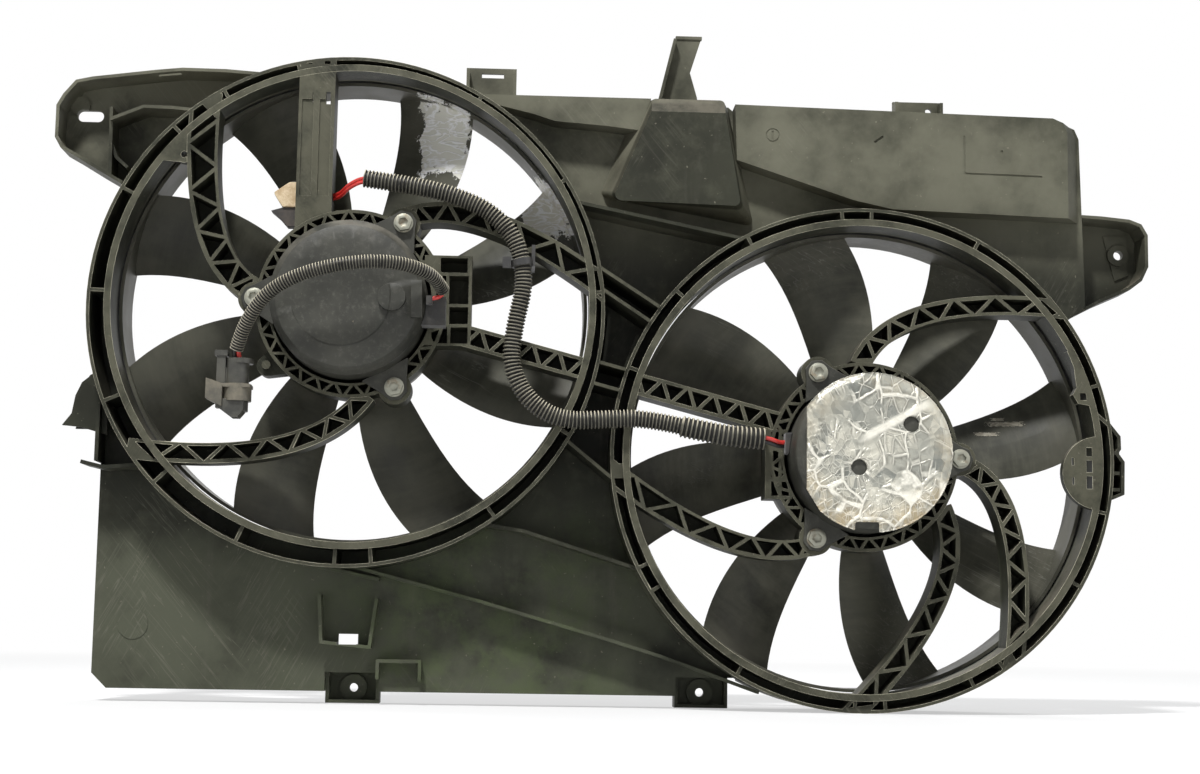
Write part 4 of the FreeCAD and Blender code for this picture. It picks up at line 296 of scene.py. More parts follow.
def shroud_plastic():
    """Glass-filled black plastic, dulled olive grey by weather.

    It carries painted sunlight high on the plate, is worn on the rims and on edges with a painted highlight over
    the rim wear, dusty on top and green low in the middle.
    """
    f = Finish("weathered_black_moulding", rough=0.5, shine=0.16)
    wide = f.noise(7.0, detail=6.0, rough=0.6)
    color = f.mix(f.ramp(wide, 0.35, 0.7), (0.014, 0.0146, 0.0102), (0.034, 0.0350, 0.0240))
    mottle = f.noise(60.0, detail=5.0, rough=0.65)
    color = f.mix(f.times(f.ramp(mottle, 0.45, 0.75), 0.5), color, (0.066, 0.067, 0.047))
    x, y, z = f.split(f.spot)
    # Painted sunlight: the deep plate is painted paler high up, where sunlight fell on it.
    painted_sunlit_zone = f.times(f.ramp(y, 0.0, 0.003), f.ramp(z, 0.28, 0.36))
    painted_sunlight = f.times(painted_sunlit_zone, f.ramp(f.noise(11.0, detail=6.0, rough=0.62), 0.25, 0.6))
    color = f.layer(color, painted_sunlight, 0.85, (0.150, 0.147, 0.108))
    _, toward, up = f.facing()
    # Rims at the rear that face back are painted paler: part wear, part painted highlight.
    worn = f.times(f.ramp(y, -0.0150, -0.0190), f.ramp(toward, -0.35, -0.9))
    worn = f.times(worn, f.ramp(f.noise(32.0, detail=5.0, rough=0.7), 0.28, 0.6))
    color = f.layer(color, worn, 0.6, (0.120, 0.116, 0.082))
    dust = f.times(f.ramp(up, 0.1, 0.95), f.ramp(f.noise(28.0, detail=6.0, rough=0.7), 0.3, 0.62))
    color = f.layer(color, dust, 0.75, (0.190, 0.170, 0.130))
    low = f.times(f.ramp(z, 0.17, 0.08), f.ramp(y, -0.004, 0.002))
    cloud = f.ramp(f.noise(13.0, detail=6.0, rough=0.6), 0.22, 0.62)
    color = f.layer(color, f.times(low, cloud), 0.9, (0.078, 0.083, 0.058))
    middle = f.times(f.ramp(x, -0.24, -0.12), f.ramp(x, 0.06, -0.04))
    algae = f.ramp(f.noise(34.0, detail=6.0, rough=0.7), 0.4, 0.65)
    green = f.times(f.times(low, middle), algae)
    color = f.layer(color, green, 0.55, (0.075, 0.098, 0.042))
    runs = f.noise(1.0, detail=5.0, rough=0.6, at=f.placed(scale=(55.0, 55.0, 5.0)))
    stain = f.times(f.ramp(runs, 0.56, 0.72), f.ramp(mottle, 0.3, 0.6))
    color = f.layer(color, stain, 0.25, (0.120, 0.113, 0.092))
    specks = f.ramp(f.noise(420.0, detail=2.0), 0.70, 0.78)
    color = f.layer(color, specks, 0.5, (0.24, 0.22, 0.17))
    lines = f.higher(f.scratches((0.0, 0.7, 0.0)), f.scratches((0.0, -0.5, 0.3), 1.3))
    color = f.layer(color, lines, 0.22, (0.21, 0.20, 0.16))
    rubbed = f.times(f.own("worn_edge"), f.ramp(f.noise(70.0, detail=5.0, rough=0.7), 0.30, 0.58))
    color = f.layer(color, rubbed, 0.95, (0.62, 0.59, 0.45))
    f.color(color)
    f.rough(f.plus(0.44, f.times(f.ramp(wide, 0.3, 0.75), 0.22)))
    f.bump(f.noise(1500.0, detail=3.0), 0.00012, 0.5)
    f.bump(f.noise(38.0, detail=3.0), 0.0006, 0.35)
    f.bump(f.times(lines, -1.0), 0.00008, 0.6)
    return f.material


def fan_plastic(name, axis, dusty, marks):
    """Fan moulding, clouded with dust, with faint streaks that follow the way it turns.

    Each mark is (x, z, half width, half height, tone).
    """
    f = Finish(name, rough=0.42, shine=0.18)
    x, _, z = f.split(f.placed(shift=(-axis.x, 0.0, -axis.z)))
    angle = f.math("ARCTAN2", z, x)
    radius = f.distance(x, z)
    around = f.tree.nodes.new("ShaderNodeCombineXYZ")
    f.feed(around.inputs[0], f.math("SINE", angle))
    f.feed(around.inputs[1], f.math("COSINE", angle))
    f.feed(around.inputs[2], f.times(radius, 60.0))
    streaks = f.noise(2.2, detail=8.0, rough=0.68, at=around.outputs[0])
    wide = f.noise(10.0, detail=5.0)
    color = f.mix(f.ramp(wide, 0.35, 0.7), (0.026, 0.0265, 0.020), (0.056, 0.056, 0.043))
    cloud = f.ramp(f.noise(26.0, detail=6.0, rough=0.62), 0.3, 0.68)
    swirl = f.ramp(streaks, 0.38, 0.76)
    veil = f.times(f.plus(f.times(swirl, 0.35), f.times(cloud, 0.65)), dusty)
    color = f.mix(veil, color, (0.118, 0.115, 0.087))
    grime = f.times(f.ramp(radius, 0.075, 0.058), f.ramp(f.noise(45.0, detail=5.0), 0.35, 0.65))
    color = f.layer(color, grime, 0.5, (0.16, 0.148, 0.12))
    edge = f.times(f.ramp(radius, 0.118, 0.150), f.ramp(f.noise(22.0, detail=6.0), 0.4, 0.65))
    color = f.layer(color, edge, 0.4, (0.105, 0.099, 0.080))
    lines = f.scratches((0.0, 1.1, 0.0), 0.9, 0.015)
    color = f.layer(color, lines, 0.3, (0.26, 0.255, 0.22))
    rubbed = f.times(f.own("worn_edge"), f.ramp(f.noise(60.0, detail=5.0, rough=0.7), 0.35, 0.6))
    color = f.layer(color, rubbed, 0.75, (0.36, 0.35, 0.27))
    f.color(color)
    f.rough(f.plus(0.36, f.times(veil, 0.35)))
    f.bump(f.noise(1300.0, detail=2.0), 0.0001, 0.4)
    f.bump(streaks, 0.0002, 0.2)
    for mark_x, mark_z, half_x, half_z, tone in marks:
        f.silver_mark((mark_x - axis.x, mark_z - axis.z), (half_x, half_z), tone, (x, z))
    return f.material


# The pressed arc on the left motor's back: its middle left of and under the axis, its radius and its slope's width
ARC_LEFT = 0.004
ARC_DROP = 0.001
ARC_RADIUS = 0.0315
ARC_STEP = 0.0015


def motor_paint():
    """Thin black coat on drawn steel, dusty on top and chipped in places, with the left can's pressed arc."""
    f = Finish("black_coated_steel", rough=0.36, shine=0.35)
    wide = f.noise(30.0, detail=6.0)
    color = f.mix(f.ramp(wide, 0.35, 0.7), (0.022, 0.0225, 0.018), (0.046, 0.046, 0.037))
    dust = f.times(f.ramp(f.facing()[2], -0.1, 0.9), f.ramp(f.noise(70.0, detail=6.0), 0.3, 0.65))
    color = f.layer(color, dust, 0.6, (0.20, 0.185, 0.15))
    bloom = f.ramp(f.noise(240.0, detail=5.0, rough=0.75), 0.5, 0.72)
    color = f.layer(color, bloom, 0.35, (0.120, 0.115, 0.100))
    chips = f.ramp(f.noise(190.0, detail=4.0, rough=0.7), 0.72, 0.76)
    color = f.mix(chips, color, (0.33, 0.27, 0.20))
    x, y, z = f.split(f.placed(shift=(-LEFT_AXIS.x, 0.0, -LEFT_AXIS.z)))
    from_middle = f.distance(f.plus(x, ARC_LEFT), f.plus(z, ARC_DROP))
    outside_arc = f.ramp(from_middle, ARC_RADIUS, ARC_RADIUS + ARC_STEP)
    below = f.ramp(f.plus(z, f.times(x, -0.25)), 0.002, -0.004)
    on_back = f.ramp(y, -0.044, -0.050)
    f.color(color)
    f.rough(f.plus(0.34, f.times(wide, 0.3)))
    f.bump(f.noise(900.0, detail=3.0), 0.00015, 0.4)
    f.bump(f.noise(90.0, detail=3.0), 0.0004, 0.3)
    f.bump(f.times(f.times(outside_arc, below), on_back), 0.0012, 0.8)
    return f.material


def plain_metal(name, color, rough, grain=300.0, stain=(0.25, 0.2, 0.14), share=0.5):
    """Bare or plated metal with stains and fine grain."""
    f = Finish(name, rough=rough, metal=1.0)
    marks = f.times(f.ramp(f.noise(grain * 0.4, detail=6.0, rough=0.65), 0.5, 0.7), share)
    f.color(f.mix(marks, color, stain))
    f.rough(f.plus(rough, f.times(marks, 0.3)))
    f.bump(f.noise(grain * 6, detail=2.0), 0.0001, 0.35)
    return f.material


def shield_foil():
    """Aluminium foil gone grey: facets in tones of painted reflection, painted highlights on the folds between
    them with painted shade beside them, tan stains low on its edge.
    """
    f = Finish("creased_foil", rough=0.42, metal=0.3)
    x, _, z = f.split(f.placed(shift=(-RIGHT_AXIS.x, 0.0, -RIGHT_AXIS.z)))
    radius = f.distance(x, z)
    shaken = f.tree.nodes.new("ShaderNodeVectorMath")
    shaken.operation = "MULTIPLY_ADD"
    wander = f.node("ShaderNodeTexNoise", Vector=f.spot, Scale=34.0, Detail=1.5)
    f.feed(shaken.inputs[0], wander.outputs["Color"])
    shaken.inputs[1].default_value = (0.013, 0.0, 0.013)
    f.feed(shaken.inputs[2], f.placed(turn=(0.0, 0.35, 0.0), scale=(1.0, 0.1, 0.8)))

    def facets(scale):
        """Tone of each facet, and how near its edge a spot is."""
        cell = f.node("ShaderNodeTexVoronoi", Vector=shaken.outputs[0], Scale=scale)
        rim = f.node("ShaderNodeTexVoronoi", Vector=shaken.outputs[0], Scale=scale)
        rim.feature = "DISTANCE_TO_EDGE"
        return f.split(cell.outputs["Color"])[0], rim.outputs["Distance"]

    large, large_rim = facets(52.0)
    middling, middling_rim = facets(120.0)
    small, small_rim = facets(260.0)
    busy = f.ramp(f.plus(f.noise(30.0, detail=2.0), f.times(z, -4.0)), 0.44, 0.62)
    # Painted reflection: each facet gets its own grey, from dark to pale.
    part = f.plus(f.times(large, 0.45), f.times(middling, 0.30))
    part = f.plus(part, f.times(small, f.plus(f.times(busy, 0.30), 0.10)))
    color = f.mix(f.ramp(part, 0.12, 0.85), (0.19, 0.20, 0.18), (0.60, 0.58, 0.49))
    broken = f.ramp(f.noise(60.0, detail=3.0), 0.42, 0.56)
    # Painted shade: facets are darkened along their edges beside the folds.
    shade = f.higher(f.ramp(large_rim, 0.15, 0.05), f.times(f.ramp(middling_rim, 0.16, 0.06), 0.8))
    color = f.layer(color, f.times(shade, broken), 0.55, (0.11, 0.11, 0.09))
    # Painted highlights: pale lines on the folds and on one long band; the same lines also raise the bump.
    folds = f.times(f.ramp(large_rim, 0.055, 0.015), broken)
    folds = f.higher(folds, f.times(f.ramp(middling_rim, 0.06, 0.015), f.times(broken, 0.6)))
    folds = f.higher(folds, f.times(f.ramp(small_rim, 0.09, 0.03), f.times(busy, 0.35)))
    off_band = f.minus(f.plus(z, f.times(x, -0.55)), 0.0125)
    band = f.times(f.ramp(f.unsigned(off_band), 0.0045, 0.0012), f.ramp(x, -0.012, -0.002))
    band = f.times(band, f.ramp(x, 0.040, 0.028))
    folds = f.higher(folds, band)
    rim = f.ramp(radius, 0.030, 0.051)
    foot = f.times(rim, f.ramp(z, 0.010, -0.035))
    blotches = f.ramp(f.noise(50.0, detail=6.0, rough=0.7), 0.38, 0.60)
    stains = f.times(f.higher(foot, f.times(rim, 0.4)), blotches)
    color = f.layer(color, stains, 0.8, (0.50, 0.40, 0.24))
    color = f.layer(color, folds, 0.85, (0.93, 0.90, 0.79))
    f.color(color)
    f.rough(f.plus(0.32, f.times(stains, 0.35)))
    f.bump(f.plus(folds, f.times(part, 1.5)), 0.0007, 0.8)
    f.bump(f.noise(180.0, detail=4.0), 0.0005, 0.5)
    return f.material


def flecked(name, color, other, rough, scale, bump=0.0002, sheen=0.0, coat=0.0, dust=0.0):
    """Matt solid with two tones and a fine tooth, for the small parts; dust lies on what faces up."""
    f = Finish(name, rough=rough, sheen=sheen, coat=coat)
    tone = f.noise(scale, detail=5.0, rough=0.65)
    base = f.mix(f.ramp(tone, 0.35, 0.7), color, other)
    drifts = f.ramp(f.noise(scale * 3, detail=5.0), 0.25, 0.55)
    lying = f.times(f.ramp(f.facing()[2], 0.15, 0.9), drifts)
    f.color(f.mix(f.times(lying, dust), base, (0.36, 0.30, 0.22)))
    f.rough(f.plus(rough - 0.08, f.times(tone, 0.2)))
    f.bump(f.noise(scale * 9, detail=3.0), bump, 0.5)
    return f.material


def conduit_plastic():
    """Black corrugated tube: crests paler, palest where they face up, troughs dark."""
    f = Finish("corrugated_conduit_black", rough=0.42, shine=0.25)
    tone = f.noise(80.0, detail=5.0)
    color = f.mix(f.ramp(tone, 0.4, 0.7), (0.012, 0.012, 0.011), (0.026, 0.025, 0.022))
    crest = f.own("crest")
    top = f.ramp(crest, 0.55, 0.98)
    crest_paling = f.times(top, f.ramp(f.noise(130.0, detail=5.0), 0.25, 0.5))
    color = f.layer(color, crest_paling, 0.75, (0.15, 0.142, 0.112))
    # Crests that face up are made paler still, towards cream.
    dust = f.times(f.ramp(f.facing()[2], -0.05, 0.85), top)
    f.color(f.layer(color, dust, 0.9, (0.60, 0.55, 0.42)))
    f.rough(f.plus(0.38, f.times(tone, 0.25)))
    f.bump(f.noise(1800.0, detail=2.0), 0.0001, 0.4)
    return f.material


# Worn pale patches on the fan blades: middle, half sizes and tone
LEFT_MARKS = [
    (-0.1120, 0.3860, 0.0160, 0.0250, (0.68, 0.67, 0.60)),
    (-0.0420, 0.3400, 0.0180, 0.0190, (0.68, 0.66, 0.58)),
]
RIGHT_MARKS = [
    (0.2790, 0.1975, 0.0110, 0.0016, (0.26, 0.24, 0.19)),
    (0.2650, 0.1900, 0.0070, 0.0012, (0.26, 0.24, 0.19)),
    (0.2740, 0.2010, 0.0040, 0.0010, (0.26, 0.24, 0.19)),
]


def make_finishes():
    return {
        "shroud": shroud_plastic(),
        "left_fan": fan_plastic("left_fan_moulding", LEFT_AXIS, 0.6, LEFT_MARKS),
        "right_fan": fan_plastic("right_fan_moulding", RIGHT_AXIS, 0.8, RIGHT_MARKS),
        "paint": motor_paint(),
        "zinc": plain_metal("dull_zinc", (0.30, 0.30, 0.25), 0.45, share=0.8),
        "steel": plain_metal("ground_steel", (0.62, 0.62, 0.62), 0.25, share=0.15),
        "core": plain_metal("laminated_steel", (0.33, 0.32, 0.31), 0.45),
        "copper": plain_metal("enamelled_copper", (0.72, 0.36, 0.18), 0.3, share=0.2),
        "ferrite": flecked("grey_ferrite", (0.07, 0.07, 0.07), (0.12, 0.12, 0.12), 0.6, 90.0),
        "card": flecked("brown_card", (0.20, 0.11, 0.05), (0.28, 0.16, 0.08), 0.5, 70.0),
        "carbon": flecked("pressed_carbon", (0.025, 0.025, 0.025), (0.05, 0.05, 0.05), 0.5, 200.0),
        "foil": shield_foil(),
        "ceramic": flecked("resistor_cement", (0.42, 0.30, 0.17), (0.68, 0.56, 0.38), 0.8, 130.0, 0.0006),
        "strap": flecked("tarnished_strap", (0.012, 0.010, 0.009), (0.05, 0.038, 0.028), 0.55, 90.0),
        "conduit": conduit_plastic(),
        "red_wire": flecked("red_insulation", (0.50, 0.025, 0.02), (0.62, 0.05, 0.04), 0.35, 60.0, coat=0.2),
        "black_wire": flecked("black_insulation", (0.015, 0.015, 0.015), (0.03, 0.03, 0.03), 0.35, 60.0),
        "nylon": flecked("black_nylon", (0.02, 0.02, 0.02), (0.045, 0.043, 0.04), 0.4, 90.0),
        "rubber": flecked("grommet_rubber", (0.018, 0.018, 0.018), (0.045, 0.042, 0.036), 0.65, 110.0,
                          sheen=0.2),
        "plug": flecked("connector_moulding", (0.026, 0.026, 0.022), (0.070, 0.068, 0.055), 0.42, 60.0,
                        dust=0.8),
        "plug_lip": flecked("connector_lock_moulding", (0.075, 0.070, 0.055), (0.17, 0.15, 0.11), 0.5, 70.0,
                            dust=0.9),
    }


# Making and placing pieces

def select_only(item):
    bpy.ops.object.select_all(action="DESELECT")
    item.select_set(True)
    bpy.context.view_layer.objects.active = item


def apply_modifier(item, kind, **settings):
    select_only(item)
    modifier = item.modifiers.new(kind.lower(), kind)
    for name, value in settings.items():
        setattr(modifier, name, value)
    bpy.ops.object.modifier_apply(modifier=modifier.name)


def finish_piece(item, body, material, slot, *nodes):
    """Gives a piece its finish, puts it on a body and hides the nodes it stands for."""
    item.data.materials.clear()
    item.data.materials.append(material)
    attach(item, body)
    if nodes:
        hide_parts(*nodes)
    return item


def merged_copy(node, name):
    """A welded copy of a CAD node, with its flat areas joined into whole faces."""
    item = bpy.data.objects.new(name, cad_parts[node].data.copy())
    bpy.context.scene.collection.objects.link(item)
    select_only(item)
    bpy.ops.object.mode_set(mode="EDIT")
    bpy.ops.mesh.select_all(action="SELECT")
    bpy.ops.mesh.remove_doubles(threshold=0.000002)
    bpy.ops.mesh.dissolve_limited(angle_limit=math.radians(0.6))
    bpy.ops.mesh.vert_connect_concave()
    bpy.ops.object.mode_set(mode="OBJECT")
    return item


def mark_worn_edges(item):
    """Writes 1 on the faces of eased edges that stand out and 0 on the rest, then gives all one finish."""
    build = bmesh.new()
    build.from_mesh(item.data)
    worn = []
    for face in build.faces:
        beside = [other for edge in face.edges for other in edge.link_faces if other.material_index == 0]
        middle = face.calc_center_median()
        outward = all(face.normal.dot(other.calc_center_median() - middle) < 0.0 for other in beside)
        worn.append(1.0 if face.material_index == 1 and beside and outward else 0.0)
    build.free()
    carried = item.data.attributes.new("worn_edge", "FLOAT", "FACE")
    carried.data.foreach_set("value", worn)
    item.data.polygons.foreach_set("material_index", [0] * len(item.data.polygons))


def eased(node, material, slot, body, edge=0.0003, segments=1, angle=28.0):
    """Stands in for a moulded or turned node, with eased edges and smooth rounds."""
    item = merged_copy(node, node + "_eased")
    item.data.materials.clear()
    item.data.materials.append(material)
    item.data.materials.append(material)
    item.data.polygons.foreach_set("material_index", [0] * len(item.data.polygons))
    apply_modifier(item, "BEVEL", width=edge, segments=segments, limit_method="ANGLE",
                   angle_limit=math.radians(angle), use_clamp_overlap=True, miter_outer="MITER_ARC", material=1)
    mark_worn_edges(item)
    select_only(item)
    bpy.ops.object.shade_smooth_by_angle(angle=math.radians(angle + 12))
    apply_modifier(item, "WEIGHTED_NORMAL", keep_sharp=True, weight=60)
    return finish_piece(item, body, material, slot, node)


# Conduits and wires

# The same route points as the solids, in metres
HARNESS_ROUTE = [
    (-0.1630, -0.0265, 0.3470),
    (-0.1340, -0.0285, 0.3430),
    (-0.1040, -0.0295, 0.3370),
    (-0.0775, -0.0290, 0.3260),
    (-0.0595, -0.0278, 0.3050),
    (-0.0550, -0.0276, 0.2780),
    (-0.0615, -0.0280, 0.2500),
    (-0.0640, -0.0285, 0.2230),
    (-0.0518, -0.0280, 0.2000),
    (-0.0291, -0.0270, 0.1874),
    (0.0008, -0.0264, 0.1895),
    (0.0270, -0.0266, 0.1905),
    (0.0500, -0.0275, 0.1855),
]
SLEEVE_ROUTE = [
    (0.0500, -0.0275, 0.1855),
    (0.0720, -0.0282, 0.1810),
    (0.0910, -0.0281, 0.1790),
    (0.1090, -0.0276, 0.1780),
]
PIGTAIL_ROUTE = [
    (-0.1083, -0.0500, 0.2691),
    (-0.1126, -0.0600, 0.2744),
    (-0.1194, -0.0680, 0.2780),
    (-0.1318, -0.0750, 0.2810),
    (-0.1475, -0.0790, 0.2818),
    (-0.1662, -0.0805, 0.2801),
    (-0.1851, -0.0800, 0.2762),
    (-0.2021, -0.0780, 0.2704),
    (-0.2155, -0.0740, 0.2631),
    (-0.2247, -0.0690, 0.2547),
    (-0.2310, -0.0640, 0.2457),
    (-0.2358, -0.0590, 0.2367),
    (-0.2393, -0.0540, 0.2270),
]
CONNECTOR_TOP = Vector((-0.2376, -0.0505, 0.2210))


def spline_points(points):
    """Points of the smooth line that a route's control points give."""
    curve = bpy.data.curves.new("route", "CURVE")
    curve.dimensions = "3D"
    spline = curve.splines.new("NURBS")
    spline.points.add(len(points) - 1)
    for knot, place in zip(spline.points, points):
        knot.co = (*place, 1.0)
    spline.order_u = 3
    spline.use_endpoint_u = True
    spline.resolution_u = 24
    holder = bpy.data.objects.new("route", curve)
    bpy.context.scene.collection.objects.link(holder)
    mesh = bpy.data.meshes.new_from_object(holder)
    line = [v.co.copy() for v in mesh.vertices]
    bpy.data.objects.remove(holder)
    bpy.data.curves.remove(curve)
    bpy.data.meshes.remove(mesh)
    return line


def even_stations(line, step):
    """Places and headings along a line at an even step."""
    lengths = [0.0]
    for a, b in zip(line, line[1:]):
        lengths.append(lengths[-1] + (b - a).length)
    total = lengths[-1]
    count = max(2, round(total / step))
    stations = []
    k = 0
    for i in range(count + 1):
        reach = total * i / count
        while k < len(line) - 2 and lengths[k + 1] < reach:
            k += 1
        span = lengths[k + 1] - lengths[k]
        share = (reach - lengths[k]) / span if span else 0.0
        stations.append(line[k].lerp(line[k + 1], share))
    headings = []
    for i in range(count + 1):
        before = stations[max(0, i - 1)]
        after = stations[min(count, i + 1)]
        headings.append((after - before).normalized())
    return list(zip(stations, headings)), total


def swept_tube(name, line, step, radius_at, sides=16):
    """Closed tube along a line, its radius given ring by ring; the mesh carries how near each is to a crest."""
    stations, total = even_stations(line, step)
    side = stations[0][1].orthogonal().normalized()
    build = bmesh.new()
    rings = []
    radii = [radius_at(i) for i in range(len(stations))]
    depth = max(max(radii) - min(radii), 0.00001)
    crests = []
    for (spot, heading), radius in zip(stations, radii):
        side = (side - heading * side.dot(heading)).normalized()
        other = heading.cross(side)
        crests += [(radius - min(radii)) / depth] * sides
        ring = []
        for k in range(sides):
            turn = 2 * math.pi * k / sides
            ring.append(build.verts.new(spot + (side * math.cos(turn) + other * math.sin(turn)) * radius))
        rings.append(ring)
    for a, b in zip(rings, rings[1:]):
        for k in range(sides):
            build.faces.new((a[k], a[(k + 1) % sides], b[(k + 1) % sides], b[k]))
    build.faces.new(rings[0][::-1])
    build.faces.new(rings[-1])
    bmesh.ops.recalc_face_normals(build, faces=build.faces)
    mesh = bpy.data.meshes.new(name)
    build.to_mesh(mesh)
    build.free()
    carried = mesh.attributes.new("crest", "FLOAT", "POINT")
    carried.data.foreach_set("value", crests)
    item = bpy.data.objects.new(name, mesh)
    bpy.context.scene.collection.objects.link(item)
    select_only(item)
    bpy.ops.object.shade_smooth_by_angle(angle=math.radians(55))
    return item, total


# Rings of one corrugation: two on its crest, two in its trough
CREST_RINGS = 2
PITCH_RINGS = 4


def ridged(radius, depth):
    """Radius of a corrugated tube, ring by ring."""
    return lambda i: radius if i % PITCH_RINGS < CREST_RINGS else radius - depth


def wire(name, points, radius, finish, offset=(0.0, 0.0, 0.0), *nodes):
    """One insulated lead along a line."""
    shifted = [Vector(p) + Vector(offset) for p in points]
    item, _ = swept_tube(name, spline_points(shifted), radius, lambda i: radius, 12)
    return finish_piece(item, "shroud", finish, "wire", *nodes)


# From one corrugation's crest to the next
HARNESS_PITCH = 0.0024
SLEEVE_PITCH = 0.0030
PIGTAIL_PITCH = 0.0019

# Radii of the insulated wires
RESISTOR_WIRE = 0.00125
MOTOR_WIRE = 0.0014
PIGTAIL_RED_WIRE = 0.0015


def make_harness(finish):
    line = spline_points(HARNESS_ROUTE)
    step = HARNESS_PITCH / PITCH_RINGS
    conduit, _ = swept_tube("harness_conduit_ridged", line, step, ridged(0.0060, 0.0010), 20)
    finish_piece(conduit, "shroud", finish["conduit"], "conduit", "harness_conduit")
    line = spline_points(SLEEVE_ROUTE)
    step = SLEEVE_PITCH / PITCH_RINGS
    sleeve, _ = swept_tube("harness_sleeve_ridged", line[:-5], step, ridged(0.0072, 0.0011), 20)
    finish_piece(sleeve, "shroud", finish["conduit"], "conduit", "harness_sleeve")
    first = Vector(HARNESS_ROUTE[0])
    resistor_end = [(-0.1905, -0.0075, 0.3375), (-0.1860, -0.0085, 0.3376), (-0.1800, -0.0115, 0.3385),
                    (-0.1740, -0.0205, 0.3430), first, first + Vector((0.008, -0.0006, -0.0011))]
    red = finish["red_wire"]
    black = finish["black_wire"]
    wire("resistor_wire_upper", resistor_end, RESISTOR_WIRE, red, (0.0, 0.0, 0.0012), "harness_leads")
    wire("resistor_wire_lower", resistor_end, RESISTOR_WIRE, red, (0.0, 0.0, -0.0013))
    last = Vector(SLEEVE_ROUTE[-1])
    motor_end = [last + Vector((-0.014, -0.0003, 0.0013)), last + Vector((-0.004, -0.0006, 0.0004)),
                 last + Vector((0.0020, -0.0012, -0.0014)), last + Vector((0.0060, 0.0004, -0.0028)),
                 (0.1188, -0.0258, 0.1756)]
    wire("right_motor_wire_red", motor_end, MOTOR_WIRE, red, (0.0, 0.0, 0.0009))
    wire("right_motor_wire_black", motor_end, MOTOR_WIRE, black, (0.0, 0.0016, -0.0016))


def make_pigtail(finish):
    line = spline_points(PIGTAIL_ROUTE)
    step = PIGTAIL_PITCH / PITCH_RINGS
    conduit, total = swept_tube("pigtail_conduit_ridged", line, step, ridged(0.0045, 0.0008), 18)
    finish_piece(conduit, "shroud", finish["conduit"], "conduit", "pigtail_conduit")
    end = Vector(PIGTAIL_ROUTE[-1])
    path = [end + Vector((0.0010, -0.0016, 0.0030)), end + Vector((0.0001, 0.0006, -0.0014)),
            end + Vector((0.0003, 0.0020, -0.0042)), CONNECTOR_TOP + Vector((-0.0006, 0.0, -0.0040)),
            CONNECTOR_TOP + Vector((-0.0006, 0.0, -0.0066))]
    red = wire("pigtail_wire_red", path, PIGTAIL_RED_WIRE, finish["red_wire"], (0.0012, -0.0004, 0.0),
               "pigtail_leads")
    black = wire("pigtail_wire_black", path, MOTOR_WIRE, finish["black_wire"], (-0.0017, 0.0006, 0.0))
    first = Vector(PIGTAIL_ROUTE[0])
    back = [first + Vector((-0.0012, -0.0028, 0.0015)), first + Vector((0.0003, 0.0012, -0.0012)),
            first + Vector((-0.0006, 0.0028, -0.0034)), first + Vector((-0.0040, 0.0018, -0.0056)),
            first + Vector((-0.0098, 0.0013, -0.0066))]
    wire("left_motor_wire_red", back, MOTOR_WIRE, finish["red_wire"], (0.0, -0.0003, 0.0004))
    plug = eased("pigtail_connector", finish["plug"], "connector_plastic", "shroud", edge=0.0004, segments=2)
    lock = eased("connector_lock", finish["plug_lip"], "connector_plastic", "shroud", edge=0.0004, segments=2)


# Heat shield

FOIL_GRAIN = 0.00065
FOIL_FLAT = 0.045
FOIL_ROLL = 0.007
FOIL_RELIEF = 0.0011
FOIL_PUFF = 0.0003
FOIL_DISH = 0.0024


def crumple(flat):
    """Relative height of the creased foil at a spot: long sharp folds and small crushed ones."""
    warp = Vector((noise.noise(flat * 40.0), 0.0, noise.noise(flat * 40.0 + Vector((7, 0, 0))))) * 0.012
    spot = flat + warp
    folds = (1.0 - abs(noise.noise(Vector((spot.x * 60.0, 0, spot.z * 22.0)))) * 2.2) ** 3
    crush = 1.0 - abs(noise.noise(spot * 150.0)) * 2.0
    fine = 1.0 - abs(noise.noise(spot * 330.0)) * 2.0
    return 0.55 * max(0.0, folds) + 0.40 * crush + 0.18 * fine + 0.5 * noise.noise(flat * 26.0)


def make_heat_shield(finish):
    """Creased foil over the right motor's back, dished a little and rolled at its edge."""
    item = merged_copy("right_heat_shield", "heat_shield_creased")
    apply_modifier(item, "REMESH", mode="VOXEL", voxel_size=FOIL_GRAIN)
    low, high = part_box("right_heat_shield")
    middle = (low[1] + high[1]) / 2
    for vertex in item.data.vertices:
        place = vertex.co
        flat = Vector((place.x, 0.0, place.z))
        radius = (flat - Vector((RIGHT_AXIS.x, 0, RIGHT_AXIS.z))).length
        edge = min(1.0, max(0.0, (radius - FOIL_FLAT) / FOIL_ROLL))
        if place.y < middle:
            place.y -= max(0.0, FOIL_RELIEF * crumple(flat) + FOIL_PUFF) * (1.0 - 0.6 * edge)
            place.y += FOIL_DISH * edge ** 2
    select_only(item)
    bpy.ops.object.shade_smooth()
    finish_piece(item, "shroud", finish["foil"], "foil", "right_heat_shield")


# Screws

SOCKET_WALL = 0.0024
SOCKET_DEPTH = 0.0018
DIMPLE_INSET = 0.0006
DIMPLE_DEPTH = 0.0004


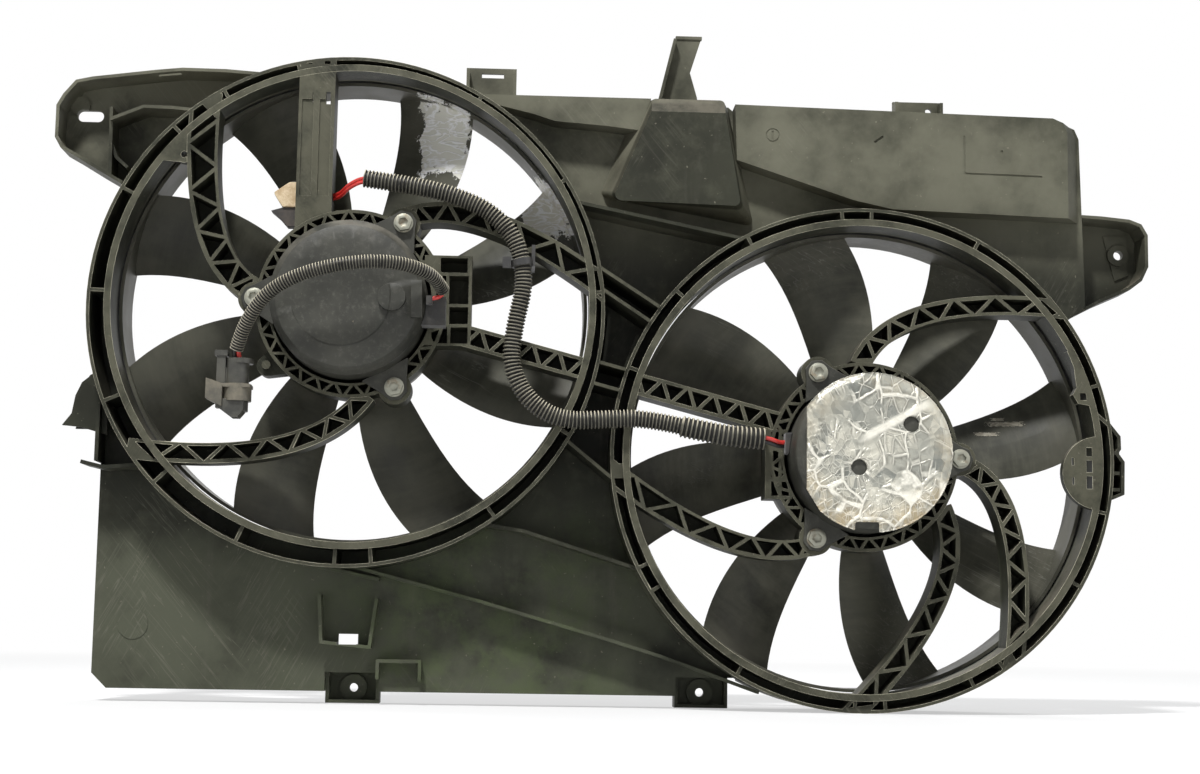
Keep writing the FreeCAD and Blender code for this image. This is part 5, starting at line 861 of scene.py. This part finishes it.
def make_screws(side, finish):
    """The node's flanged screws with a sunk socket in each head, edges eased."""
    item = merged_copy(side + "_motor_screws", side + "_motor_screws_eased")
    crown = min(vertex.co.y for vertex in item.data.vertices)
    for polygon in item.data.polygons:
        polygon.select = polygon.normal.y < -0.99 and abs(polygon.center.y - crown) < 0.0001
    for vertex in item.data.vertices:
        vertex.select = False
    for edge in item.data.edges:
        edge.select = False
    bpy.ops.object.mode_set(mode="EDIT")
    bpy.ops.mesh.select_mode(type="FACE")
    bpy.ops.mesh.inset(thickness=SOCKET_WALL)
    bpy.ops.mesh.extrude_region_move(TRANSFORM_OT_translate={"value": (0.0, SOCKET_DEPTH, 0.0)})
    bpy.ops.mesh.inset(thickness=DIMPLE_INSET)
    bpy.ops.mesh.extrude_region_move(TRANSFORM_OT_translate={"value": (0.0, DIMPLE_DEPTH, 0.0)})
    bpy.ops.object.mode_set(mode="OBJECT")
    apply_modifier(item, "BEVEL", width=0.00045, segments=2, limit_method="ANGLE",
                   angle_limit=math.radians(28.0), use_clamp_overlap=True)
    select_only(item)
    bpy.ops.object.shade_smooth_by_angle(angle=math.radians(40))
    finish_piece(item, "shroud", finish["zinc"], "zinc_steel", side + "_motor_screws")


# Dressing of the CAD nodes

MOULDINGS = [
    "shroud_panel", "shroud_skirt", "left_fan_barrel", "right_fan_barrel", "left_motor_basket",
    "right_motor_basket", "left_mounting_ear", "right_mounting_ear", "bottom_mounting_tabs", "cross_strut",
    "left_top_strut", "left_upper_left_arm", "left_upper_right_arm", "left_lower_arm", "right_upper_arm",
    "right_outer_arm", "right_inner_arm", "right_lower_arm",
]


def dress_mouldings(finish):
    for node in MOULDINGS:
        eased(node, finish["shroud"], "shroud_plastic", "shroud", edge=0.00035, segments=2)
    for side in ("left", "right"):
        eased(side + "_fan", finish[side + "_fan"], "fan_plastic", side + "_rotor", edge=0.00035, segments=2)
        eased(side + "_motor_yoke", finish["paint"], "motor_black", "shroud", edge=0.0005, segments=2)
        make_screws(side, finish)
        eased(side + "_fan_nut", finish["zinc"], "zinc_steel", side + "_rotor", edge=0.0003, segments=2)
        eased(side + "_lead_grommet", finish["rubber"], "rubber", "shroud", edge=0.0008, segments=3)
    eased("dropping_resistor", finish["ceramic"], "ceramic", "shroud", edge=0.0005, segments=2)
    eased("resistor_bracket", finish["strap"], "dark_metal", "shroud", edge=0.0002)
    eased("cable_tie", finish["nylon"], "tie_nylon", "shroud", edge=0.0003)


INNER = {
    "motor_end_cover": "paint", "rear_bearing": "steel", "front_bearing": "steel", "rotor_shaft": "steel",
    "armature_core": "core", "armature_windings": "copper", "commutator": "copper",
    "motor_magnets": "ferrite", "brush_card": "card", "brushes": "carbon",
}


def paint_nodes(finish):
    """Finishes of the nodes whose own mesh shows."""
    painted = {side + "_" + part: key for side in ("left", "right") for part, key in INNER.items()}
    for node, key in painted.items():
        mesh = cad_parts[node].data
        mesh.materials.clear()
        mesh.materials.append(finish[key])


set_up_camera()
finishes = make_finishes()
make_pigtail(finishes)
make_harness(finishes)
make_heat_shield(finishes)
dress_mouldings(finishes)
paint_nodes(finishes)
set_up_floor()
set_up_light()
bpy.context.scene.view_settings.view_transform = "Standard"
